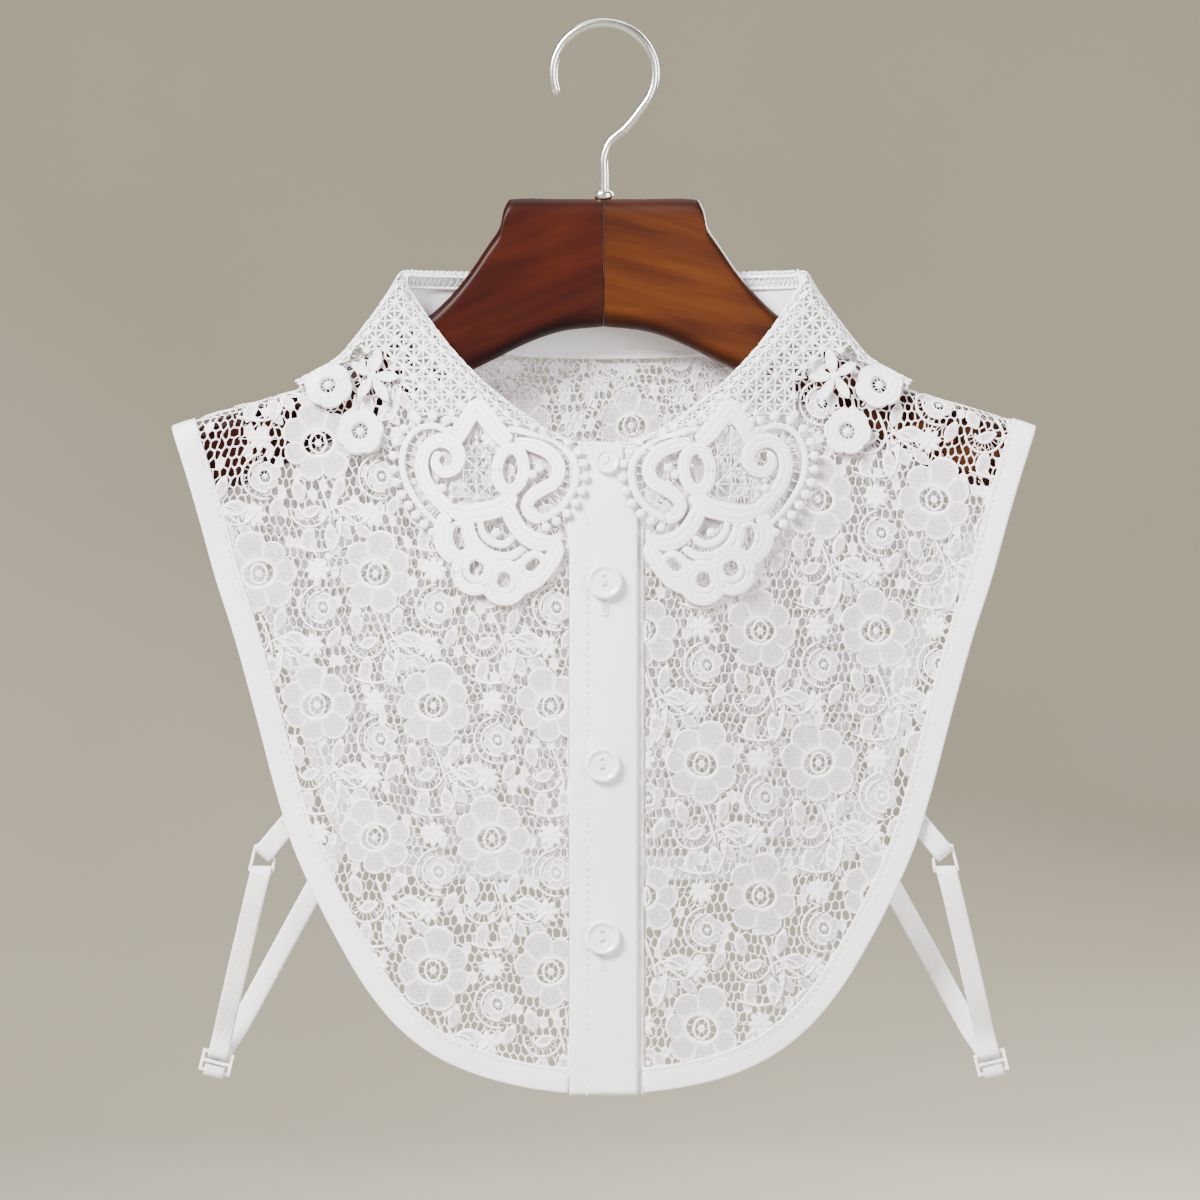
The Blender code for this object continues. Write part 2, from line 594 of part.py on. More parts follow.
def build_bands():
    """Make the button band and the band below it."""
    for name, left, right, lift in (("placket", BAND_LEFT, BAND_RIGHT, BAND_LIFT),
                                    ("under_placket", UNDER_BAND_LEFT, UNDER_BAND_RIGHT,
                                     BAND_LIFT - BAND_WALL - SEAM_GAP)):
        xs = np.linspace(left, right, 5)
        seam = through(column(NECK, 0), column(NECK, 1), np.abs(xs)) - CURVED_SEAM_GAP
        shape = np.vstack([np.column_stack([xs, seam]), [(right, HEM_Z), (left, HEM_Z)]])
        add_cloth(name, shape, FRONT, WHITE_COTTON, BAND_WALL, lift, edge=12.0, step=11.0)


def stand_half():
    """Return the stand's middle line, foot and top points, from the front centre round to the back."""
    stations = np.append(column(NECK, 0)[:-2], STAND_LAST_STATION)
    halves = []
    for side, seam, fold, depth in ((FRONT, 1, 3, 5), (BACK, 2, 4, 6)):
        z = through(column(NECK, 0), column(NECK, seam), stations)
        foot = drape(body_top, body_depth, side)(unroll(body_top, side, np.column_stack([stations, z])))
        foot[:, 1] -= side * STAND_WALL / 2
        top = moved_line(np.column_stack([column(NECK, 0), column(NECK, fold)]), -STAND_TOP_DROP)
        head_y = column(NECK, depth) - side * STAND_WALL / 4
        head = [through(column(NECK, 0), values, stations) for values in (top[:, 0], head_y, top[:, 1])]
        head = np.column_stack(head)
        foot += (head - foot) / np.linalg.norm(head - foot, axis=1)[:, None] * STAND_FOOT_GAP
        halves.append(np.hstack([foot, head]))
    corner = np.array([[NECK_POINT_X, float(arm_depth(NECK_POINT_X)), BODY_RIDGE[1][1] + STAND_FOOT_GAP,
                        LEAF_CORNER_X - 1.6, NECK[-1][5], LEAF_RIDGE[0][1] - STAND_TOP_DROP]])
    return np.vstack([halves[0], corner, halves[1][::-1]])


def build_stand():
    """Make the collar stand: one band round the neck whose inner end laps under the outer end."""
    half = stand_half()
    flip = np.array([-1.0, 1.0, 1.0, -1.0, 1.0, 1.0])
    left, right = half * flip, half[::-1][1:]
    lap = half[0].copy()
    lap[[0, 3]] = STAND_LAP_END
    inner_end = half[0] * flip
    inner_end[[0, 3]] = STAND_INNER_END
    line = np.vstack([lap, left[1:], right[:-1], half[0], inner_end])
    line = smooth_line(line, 5.0)
    front = (line[:, 1] < -30.0) & (np.arange(len(line)) > len(line) / 2)
    under = np.where(front, np.clip((STAND_LAP_SHIFT[0] - line[:, 0]) / STAND_LAP_SHIFT[1], 0.0, 1.0), 0.0)
    shift = (STAND_WALL + SEAM_GAP) * under * under * (3.0 - 2.0 * under)
    foot, head = line[:, :3].copy(), line[:, 3:].copy()
    foot[:, 1] += shift
    head[:, 1] += shift
    along = np.gradient((foot + head) / 2, axis=0)
    normal = np.cross(along, head - foot)
    normal /= np.linalg.norm(normal, axis=1)[:, None]
    half_wall = normal * STAND_WALL / 2
    rings = np.stack([foot + half_wall, head + half_wall, head - half_wall, foot - half_wall], axis=1)
    add_tube("collar_stand", rings, WHITE_COTTON)


def add_tube(name, rings, finish):
    """Join rings of points, one after the other, into a closed solid with flat ends."""
    count, size = rings.shape[:2]
    faces = [(r * size + i, r * size + (i + 1) % size, (r + 1) * size + (i + 1) % size, (r + 1) * size + i)
             for r in range(count - 1) for i in range(size)]
    faces += [tuple(range(size))[::-1], tuple((count - 1) * size + i for i in range(size))]
    points = rings.reshape(-1, 3)
    first = points[list(faces[0])]
    middle = rings[:2].reshape(-1, 3).mean(axis=0)
    if np.dot(np.cross(first[1] - first[0], first[2] - first[0]), first.mean(axis=0) - middle) < 0:
        faces = [face[::-1] for face in faces]
    return add_object(name, points, faces, finish)


def build_leaf():
    """Make the guipure leaf: two front halves and the part behind the neck."""
    fold_x = np.linspace(LEAF_EDGE[-1][0] + 1.0, LEAF_CORNER_X, 16)
    ridge_x = np.linspace(LEAF_CORNER_X, LEAF_END_X, 9)[1:]
    for name, sign in (("left", -1.0), ("right", 1.0)):
        top_x = np.concatenate([fold_x, ridge_x])
        height, roll, _ = leaf_top(FRONT, top_x)
        drop = np.where(top_x < LEAF_CORNER_X - 0.1, 0.02, roll * (1.0 - math.cos(0.25 / ROLL)))
        top = np.column_stack([top_x, height - drop])
        shape = np.vstack([top, smooth_line(LEAF_EDGE, 3.2)])
        add_cloth("collar_leaf_" + name, shape * (sign, 1.0), FRONT, GUIPURE, LEAF_WALL,
                  layer="leaf", holes=leaf_gaps(sign), step=9.0, edge=5.0)
    build_leaf_back(ridge_x)


def build_leaf_back(ridge_x):
    """Make the part of the leaf behind the neck, with a scalloped lower edge."""
    top_x = np.concatenate([np.linspace(0.0, LEAF_CORNER_X, 16), ridge_x])
    height, roll, _ = leaf_top(BACK, top_x)
    drop = np.where(top_x < LEAF_CORNER_X - 0.1, 0.02, roll * (1.0 - math.cos(0.25 / ROLL)))
    top = np.column_stack([top_x, height - drop])
    low_x = np.linspace(LEAF_END_X - 2.0, 0.0, 41)
    swing = np.abs(np.cos(low_x / LEAF_END_X * math.pi * LEAF_BACK_SCALLOPS / 2.0))
    low_z = (LEAF_BACK_EDGE_Z - LEAF_BACK_END_RISE * (1.0 - low_x / LEAF_END_X)
             - LEAF_BACK_SCALLOP_DEPTH * swing)
    low = np.column_stack([low_x, low_z])
    half = np.vstack([top, low[:-1]])
    shape = np.vstack([half, low[-1:], half[:0:-1] * (-1.0, 1.0)])
    holes = [gap_shape(sign * x, z, *LEAF_BACK_GAP, 0.0) for sign in (-1.0, 1.0) for x, z in LEAF_BACK_GAPS]
    add_cloth("collar_leaf_back", shape, BACK, GUIPURE, LEAF_WALL, layer="leaf", holes=holes,
              step=14.0, edge=7.0)


def build_buttons():
    """Make the four two-hole buttons on the band, each with a raised rim."""
    place = drape(body_top, body_depth, FRONT)
    for number, (x, z, diameter) in enumerate(BUTTONS, start=1):
        spot = np.array([[x, z]])
        normal = normals_of(place, spot, FRONT)[0]
        level = unit(np.array([1.0, 0.0, 0.0]) - normal * normal[0])
        upright = np.cross(level, -normal)
        radius = diameter / 2
        outline = gap_shape(0.0, 0.0, radius, radius, 0.0, 24)
        holes = [gap_shape(0.0, s * BUTTON_HOLE_PLACE * radius, BUTTON_HOLE * radius, BUTTON_HOLE * radius,
                           0.0, 6) for s in (-1.0, 1.0)]
        rings = [gap_shape(0.0, 0.0, r * radius, r * radius, 0.0, 16) for r in (BUTTON_RIM, BUTTON_DISH)]
        flat, triangles = triangulate(outline, holes, rings)
        rear = place(spot)[0] + normal * (BAND_LIFT + SEAM_GAP) + flat[:, :1] * level + flat[:, 1:] * upright
        rim = np.linalg.norm(flat, axis=1) > BUTTON_DISH * radius + 0.05
        height = np.where(rim, BUTTON_WALL, BUTTON_WALL - BUTTON_DISH_DEPTH)
        add_object(f"button_{number}", np.vstack([rear + normal * height[:, None], rear]),
                   wall_faces(flat, triangles, True), PLASTIC)


def add_strap(name, line, across):
    """Sweep the flat section of the elastic along a line; across gives its width direction there."""
    line, across = np.asarray(line, float), np.asarray(across, float)
    along = np.gradient(line, axis=0)
    along /= np.linalg.norm(along, axis=1)[:, None]
    across = across - along * np.sum(across * along, axis=1)[:, None]
    across /= np.linalg.norm(across, axis=1)[:, None]
    normal = np.cross(along, across)
    w, t = across * ELASTIC_WIDTH / 2, normal * ELASTIC_WALL / 2
    rings = np.stack([line + w + t, line - w + t, line - w - t, line + w - t], axis=1)
    add_tube(name, rings, ELASTIC)


def loop_round(bar, away, long_tail=True):
    """Return the points of a strap that comes back round a bar.

    The strap leaves the bar in the direction away, on the side that faces -Y. A long tail lies
    behind the strap, and a short one ends just past the bar.
    """
    bar, away = np.asarray(bar, float), np.asarray(away, float)
    back = np.array([0.0, 1.0, 0.0])
    if long_tail:
        lap = LOOP_RADIUS - ELASTIC_WALL - SEAM_GAP
        points = [bar + away * LOOP_TAIL[0] - back * lap, bar + away * LOOP_TAIL[1] - back * (lap - 0.1)]
    else:
        points = [bar + away * LOOP_STUB + back * LOOP_RADIUS]
    for angle in (90.0, 60.0, 20.0, -20.0, -60.0, -90.0):
        turn = math.radians(angle)
        points.append(bar - away * LOOP_RADIUS * math.cos(turn) + back * LOOP_RADIUS * math.sin(turn))
    points.append(bar + away * LOOP_START[0 if long_tail else 1] - back * LOOP_RADIUS)
    return np.array(points)


def bar_plate(name, corners, holes, centre, level, upright, side):
    """Make a flat plastic frame from its outline and holes in its own plane."""
    flat, triangles = triangulate(np.asarray(corners, float), [np.asarray(hole, float) for hole in holes])

    def place(spots):
        return centre + spots[:, :1] * level + spots[:, 1:] * upright

    add_wall(name, flat, triangles, place, side, RING_BAR, 2 * RING_BAR, PLASTIC)


def outward(vector):
    """Return a width direction turned so that it points away from the centre."""
    return vector if vector[0] > 0 else -vector


def build_straps():
    """Make the elastic loop of each side: tab, ring, front leg, slider and back leg."""
    tab_start, ring_top, ring_foot, slider, back_end = (
        np.array(p) for p in (TAB_START, RING_TOP, RING_FOOT, SLIDER, BACK_LEG_END))
    depth_way = np.array([0.0, 1.0, 0.0])
    tab_way = unit((tab_start - ring_top) * (1.0, 0.0, 1.0))
    rise = unit((ring_foot - slider) * (1.0, 0.0, 1.0))
    tab_across, slide_across = (outward(unit(np.cross(way, depth_way))) for way in (tab_way, rise))
    top_bar = slider + rise * (SLIDER_REACH - SLIDER_BAR / 2)
    low_bar = slider - rise * (SLIDER_REACH - SLIDER_BAR / 2)
    tab = np.vstack([loop_round(ring_top, tab_way), [tab_start]])
    front, front_across = front_leg(ring_foot, top_bar, rise, slide_across)
    back, back_across = back_leg(low_bar, back_end, rise, slide_across)
    for name, sign in (("left", -1.0), ("right", 1.0)):
        flip = np.array([sign, 1.0, 1.0])
        add_strap("strap_tab_" + name, tab * flip, np.tile(tab_across, (len(tab), 1)) * flip)
        add_strap("strap_front_" + name, front * flip, front_across * flip)
        add_strap("strap_back_" + name, back * flip, back_across * flip)
        add_ring("strap_ring_" + name, sign, ring_top, ring_foot, tab_across)
        add_slider("strap_slider_" + name, sign, slider, slide_across, rise)


def front_leg(ring_foot, top_bar, rise, slide_across):
    """Return the line and the width directions of the front leg, from the ring to the slider."""
    run = top_bar - ring_foot
    between = [ring_foot + run * share - (0.0, LOOP_RADIUS + slack, 0.0)
               for share, slack in ((0.35, 2.0), (0.7, 1.5))]
    line = np.vstack([loop_round(ring_foot, -rise), between, loop_round(top_bar, rise)[::-1]])
    turn = np.clip((np.linspace(0.0, 1.0, len(line))[:, None] - 0.3) / 0.4, 0.0, 1.0)
    return line, (1.0, 0.0, 0.0) * (1.0 - turn) + slide_across * turn


def back_leg(low_bar, back_end, rise, slide_across):
    """Return the line and the width directions of the back leg, from the slider to the back."""
    start = loop_round(low_bar, rise, long_tail=False)
    start[:, 1] = 2 * low_bar[1] - start[:, 1]
    run = back_end - low_bar
    between = [low_bar + run * share + (0.0, LOOP_RADIUS, 0.0) for share in (0.2, 0.5, 0.8)]
    line = np.vstack([start, between, [back_end]])
    turn = np.clip((np.arange(len(line)) - len(start)) / 3.0, 0.0, 1.0)[:, None]
    wide = outward(unit(np.cross(run, (0.0, 1.0, 0.0))))
    return line, slide_across * (1.0 - turn) + wide * turn


def add_ring(name, sign, ring_top, ring_foot, tab_across):
    """Make the plastic ring: four bars, the top one square to the tab."""
    half = ELASTIC_WIDTH / 2 + RING_SLACK
    out = np.array([1.0, 0.0, 0.0])
    middle = (ring_top + ring_foot) / 2
    corners = [ring_top - tab_across * half, ring_top + tab_across * half,
               ring_foot + out * half, ring_foot - out * half]
    loop = np.array([(corner - middle)[[0, 2]] for corner in corners])
    grow = loop / np.linalg.norm(loop, axis=1)[:, None] * RING_BAR_REACH
    mirror = np.array([sign, 1.0])
    bar_plate(name, (loop + grow) * mirror, [(loop - grow) * mirror], middle * (sign, 1.0, 1.0),
              out, np.array([0.0, 0.0, 1.0]), FRONT)


def add_slider(name, sign, slider, slide_across, rise):
    """Make the slider: a flat frame with two slots."""
    slot, reach, bar = ELASTIC_WIDTH / 2 + SLIDER_SLACK, SLIDER_REACH, SLIDER_BAR
    span = slot + bar
    frame = [(-span, -reach), (span, -reach), (span, reach), (-span, reach)]
    slots = [[(-slot, low), (slot, low), (slot, high), (-slot, high)]
             for low, high in ((-reach + bar, -bar / 2), (bar / 2, reach - bar))]
    bar_plate(name, frame, slots, slider * (sign, 1.0, 1.0), slide_across * (1.0, 1.0, sign),
              rise * (sign, 1.0, 1.0), FRONT)


def hanger_ring(x, top, bottom):
    """Return one upright section of the hanger: a rectangle with rounded edges."""
    radius = min(HANGER_EDGE_RADIUS, (top - bottom) * 0.35)
    half_y, half_z = HANGER_WALL / 2 - radius, (top - bottom) / 2 - radius
    middle = (top + bottom) / 2
    ring = []
    for corner_y, corner_z, start in ((1, 1, 0.0), (-1, 1, 90.0), (-1, -1, 180.0), (1, -1, 270.0)):
        for turn in (0.0, 45.0, 90.0):
            angle = math.radians(start + turn)
            ring.append((x, float(arm_depth(x)) + corner_y * half_y + radius * math.cos(angle),
                         middle + corner_z * half_z + radius * math.sin(angle)))
    return ring


def build_hanger():
    """Make both wooden halves and the steel hook."""
    sections = np.array([hanger_ring(*row) for row in HANGER_SECTIONS])
    add_tube("hanger_left", sections * (-1.0, 1.0, 1.0), DARK_WOOD)
    add_tube("hanger_right", sections, LIGHT_WOOD)
    radius = HOOK_INNER_RADIUS + HOOK_WIRE_RADIUS
    centre_z = -HOOK_INNER_RADIUS
    turn = np.radians(np.linspace(205.0, -40.0, 22))
    ring = np.column_stack([radius * np.cos(turn), centre_z + radius * np.sin(turn)])
    neck = [(8.4, -41.6), (2.6, -46.6), (0.0, -53.0), (0.0, -60.0), (0.0, HOOK_FOOT_Z)]
    line = smooth_line(np.vstack([ring, neck]), 5.0)
    curve = bpy.data.curves.new("hanger_hook", "CURVE")
    curve.dimensions = "3D"
    curve.bevel_depth = HOOK_WIRE_RADIUS * MM
    curve.bevel_resolution = 2
    curve.use_fill_caps = True
    spline = curve.splines.new("POLY")
    spline.points.add(len(line) - 1)
    for point, (x, z) in zip(spline.points, line):
        point.co = (x * MM, 0.0, z * MM, 1.0)
    curve.materials.append(make_material(STEEL))
    hook = bpy.data.objects.new("hanger_hook", curve)
    bpy.context.scene.collection.objects.link(hook)


def main():
    """Clear the scene and build the garment and its hanger."""
    for item in list(bpy.data.objects):
        bpy.data.objects.remove(item, do_unlink=True)
    build_hanger()
    build_fronts()
    build_back()
    build_bands()
    build_stand()
    build_leaf()
    build_buttons()
    build_straps()


main()
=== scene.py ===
"""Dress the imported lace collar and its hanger, and set it in a plain studio.

Lengths are millimetres until a mesh is made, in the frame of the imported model: the origin is the
inner top of the hook, +Z is up, +X is the viewer's right and the front of the garment faces -Y.
Cloth is drawn flat in (x, v), where v runs down the cloth, and is then hung: one function carries
flat points onto the front or the back, and lays them on the cloth at a height above it.
"""
import logging
import math
from dataclasses import dataclass, field
from enum import Enum

import bpy
import numpy as np
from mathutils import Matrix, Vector


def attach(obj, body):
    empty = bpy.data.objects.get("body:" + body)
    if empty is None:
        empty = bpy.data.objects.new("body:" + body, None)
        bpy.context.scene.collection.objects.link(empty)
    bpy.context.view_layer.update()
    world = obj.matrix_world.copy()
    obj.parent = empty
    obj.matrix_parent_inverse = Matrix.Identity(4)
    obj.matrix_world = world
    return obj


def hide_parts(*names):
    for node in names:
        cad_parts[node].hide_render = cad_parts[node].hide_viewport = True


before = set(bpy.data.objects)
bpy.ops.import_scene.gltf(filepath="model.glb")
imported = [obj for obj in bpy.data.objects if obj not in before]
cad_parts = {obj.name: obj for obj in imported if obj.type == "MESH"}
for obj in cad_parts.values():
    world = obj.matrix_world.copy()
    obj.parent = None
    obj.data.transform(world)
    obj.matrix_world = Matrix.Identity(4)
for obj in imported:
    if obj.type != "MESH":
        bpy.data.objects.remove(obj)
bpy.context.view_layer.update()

log = logging.getLogger("collar")
Array = np.ndarray
MM = 0.001
SEED = 11

# Where the hanging cloth lies, the same tables as the solids have
ROLL = 10.0
HANGER_SWEEP = 20.0
HANGER_REACH = 165.0
LEAF_LIFT = 2.8
LEAF_ROLL = (9.0, 4.5)  # at the neck, on the front and on the back
LEAF_ARM_ROLL = 12.0
LEAF_CORNER_X = 82.2
LEAF_END_X = 124.0
NECK_POINT_X = 80.0
HEM_Z = -428.9
BODY_RIDGE = (  # x, z
    (60.0, -108.0), (80.0, -121.0), (104.0, -137.0), (116.0, -143.8), (125.0, -148.2), (143.6, -153.5),
    (160.0, -158.8), (176.0, -164.2),
)
LEAF_RIDGE = (  # x, z
    (82.2, -99.5), (88.6, -110.0), (97.8, -122.8), (107.0, -134.0), (116.2, -139.8), (126.0, -145.0),
)
DEPTH_AT = (0.0, 25.0, 50.0, 80.0, 120.0, 165.0)
FRONT_DEPTH = (  # z, then y at each distance from the centre
    (-100.0, -33.0, -30.5, -23.0, -17.0, -23.0, -30.0),
    (-120.0, -40.0, -37.0, -28.0, -17.0, -23.0, -30.0),
    (-145.0, -47.0, -43.5, -37.0, -22.5, -23.5, -30.0),
    (-165.0, -51.5, -48.5, -42.5, -29.0, -25.0, -30.0),
    (-190.0, -55.5, -52.5, -46.5, -34.5, -27.5, -30.0),
    (-220.0, -57.5, -54.5, -49.0, -38.5, -30.0, -30.5),
    (-270.0, -57.5, -55.0, -50.5, -41.5, -33.0, -32.0),
    (-345.0, -54.5, -52.5, -49.0, -42.5, -36.0, -34.0),
    (-432.0, -49.5, -48.5, -46.0, -42.0, -37.5, -35.5),
)
BACK_DEPTH = (
    (-98.0, 13.0, 12.6, 10.6, 3.2, -3.0, -9.5),
    (-120.0, 14.5, 14.0, 12.2, 4.6, -2.5, -9.5),
    (-145.0, 16.0, 15.4, 13.2, 6.5, -1.5, -9.5),
    (-185.0, 18.0, 17.2, 15.0, 9.5, 1.5, -7.5),
    (-260.0, 18.5, 17.8, 16.0, 11.5, 5.5, -2.0),
    (-350.0, 15.5, 15.2, 14.0, 11.0, 8.0, 3.0),
)
NECK = (  # x, front seam z, back seam z, front fold z, back fold z, front fold y, back fold y
    (0.0, -177.5, -135.3, -168.6, -98.9, -37.6, 12.2),
    (12.0, -177.0, -135.2, -169.0, -98.9, -37.2, 12.1),
    (22.0, -174.0, -135.0, -165.0, -98.9, -36.6, 11.9),
    (34.0, -168.0, -134.3, -156.6, -98.9, -34.8, 11.4),
    (46.5, -158.8, -132.8, -146.6, -98.9, -30.0, 10.0),
    (56.0, -150.0, -130.6, -137.2, -98.9, -24.6, 7.6),
    (66.0, -140.4, -127.8, -125.2, -98.9, -16.8, 3.9),
    (74.0, -131.0, -124.6, -113.6, -99.0, -11.0, -0.9),
    (80.0, -121.0, -121.0, -104.0, -99.2, -8.2, -5.4),
    (82.2, -121.0, -121.0, -99.5, -99.5, -7.1, -7.1),
)
FRONT_EDGE = (  # x, z
    (176.4, -156.0), (173.5, -163.6), (166.8, -184.0), (161.8, -201.0), (155.6, -223.4), (148.0, -247.0),
    (139.5, -277.2), (129.5, -314.2), (124.4, -330.5), (116.2, -349.3), (106.0, -369.0), (93.6, -389.0),
    (81.6, -403.0), (68.1, -413.4), (51.1, -421.2), (32.0, -426.0), (14.0, -428.2), (0.0, -428.9),
)
BACK_EDGE = (  # x, z
    (176.6, -156.0), (173.8, -163.7), (168.2, -185.0), (159.6, -206.0), (147.0, -226.0), (134.6, -247.0),
    (125.4, -275.0), (118.4, -305.0), (110.6, -326.0), (96.0, -341.0), (70.0, -346.6), (35.0, -347.9),
    (0.0, -348.1),
)
LEAF_EDGE = (  # x, z
    (124.0, -151.0), (119.9, -157.3), (111.6, -160.6), (108.2, -163.5), (108.0, -170.0), (104.3, -175.8),
    (97.8, -178.0), (92.4, -175.0), (89.4, -178.5), (88.4, -187.2), (84.9, -194.6), (80.3, -200.1),
    (74.8, -205.4), (68.5, -207.8), (66.6, -213.0), (62.9, -221.3), (55.5, -228.6), (49.0, -233.2),
    (38.9, -234.1), (33.4, -230.9), (26.0, -225.8), (20.5, -217.6), (17.6, -209.2), (19.0, -205.2),
    (15.0, -200.6), (10.4, -191.7), (8.1, -185.0), (9.4, -178.0), (10.8, -173.4),
)
LEAF_BACK_EDGE_Z = -160.0
LEAF_BACK_END_RISE = 8.0
LEAF_BACK_SCALLOPS = 8
LEAF_BACK_SCALLOP_DEPTH = 4.0


class Side(Enum):
    """Which half of the hanging garment a cloth is on; the value is the way it faces along y."""

    FRONT = -1.0
    BACK = 1.0


class Layer(Enum):
    """Which cloth a drape belongs to: the body, or the collar leaf that lies on it."""

    BODY = "body"
    LEAF = "leaf"


def column(rows: tuple, index: int) -> Array:
    """Return one column of a table."""
    return np.array([row[index] for row in rows], float)


def through(knots: Array, values: Array, at: Array, level_start: bool = False) -> Array:
    """Read a smooth curve through values at some places.

    Between two knots the curve is the cubic with the values there and with slopes taken from the
    neighbours. Values may be one row for all places, or one row for each place.
    """
    knots, values = np.asarray(knots, float), np.asarray(values, float)
    at = np.clip(np.asarray(at, float), knots[0], knots[-1])
    slopes = np.gradient(values, knots, axis=-1)
    if level_start:
        slopes[..., 0] = 0.0
    start = np.clip(np.searchsorted(knots, at, side="right") - 1, 0, len(knots) - 2)
    if values.ndim == 1:
        v0, v1, m0, m1 = values[start], values[start + 1], slopes[start], slopes[start + 1]
    else:
        v0, v1, m0, m1 = (np.take_along_axis(rows, index[..., None], -1)[..., 0]
                          for rows, index in ((values, start), (values, start + 1),
                                              (slopes, start), (slopes, start + 1)))
    span = knots[start + 1] - knots[start]
    t = (at - knots[start]) / span
    return ((2 * t**3 - 3 * t**2 + 1) * v0 + (t**3 - 2 * t**2 + t) * m0 * span
            + (3 * t**2 - 2 * t**3) * v1 + (t**3 - t**2) * m1 * span)


def arm_depth(x: Array) -> Array:
    """Return y of the middle of the hanger, whose arms sweep forward."""
    return -HANGER_SWEEP * (np.abs(x) / HANGER_REACH) ** 1.5


def smooth_line(points: Array, step: float) -> Array:
    """Return a smooth line through points, with a point about every step."""
    points = np.asarray(points, float)
    chord = np.concatenate([[0.0], np.cumsum(np.linalg.norm(np.diff(points, axis=0), axis=1))])
    at = np.linspace(0.0, chord[-1], max(2, int(chord[-1] / step)) + 1)
    return np.column_stack([through(chord, points[:, i], at) for i in range(points.shape[1])])


def moved_line(line: Array, distance: float) -> Array:
    """Return a flat line moved to its left by a distance."""
    along = np.gradient(line, axis=0)
    along /= np.linalg.norm(along, axis=1)[:, None]
    return line + distance * np.column_stack([-along[:, 1], along[:, 0]])


def inside(points: Array, polygon: Array) -> Array:
    """Return which flat points lie inside a closed polygon, by counting crossings."""
    x, y = points[..., 0][..., None], points[..., 1][..., None]
    x0, y0 = polygon[:, 0], polygon[:, 1]
    x1, y1 = np.roll(x0, -1), np.roll(y0, -1)
    rise = np.where(y1 == y0, 1.0, y1 - y0)
    crossed = ((y0 > y) != (y1 > y)) & (x < x0 + (y - y0) / rise * (x1 - x0))
    return crossed.sum(axis=-1) % 2 == 1


def polygon_area(points: Array) -> float:
    """Return the area of a closed flat polygon."""
    x, y = points[:, 0], points[:, 1]
    return float(abs(np.dot(x, np.roll(y, -1)) - np.dot(y, np.roll(x, -1))) / 2)


def unit(vectors: Array) -> Array:
    """Return vectors of length one."""
    return vectors / np.maximum(np.linalg.norm(vectors, axis=-1, keepdims=True), 1e-9)


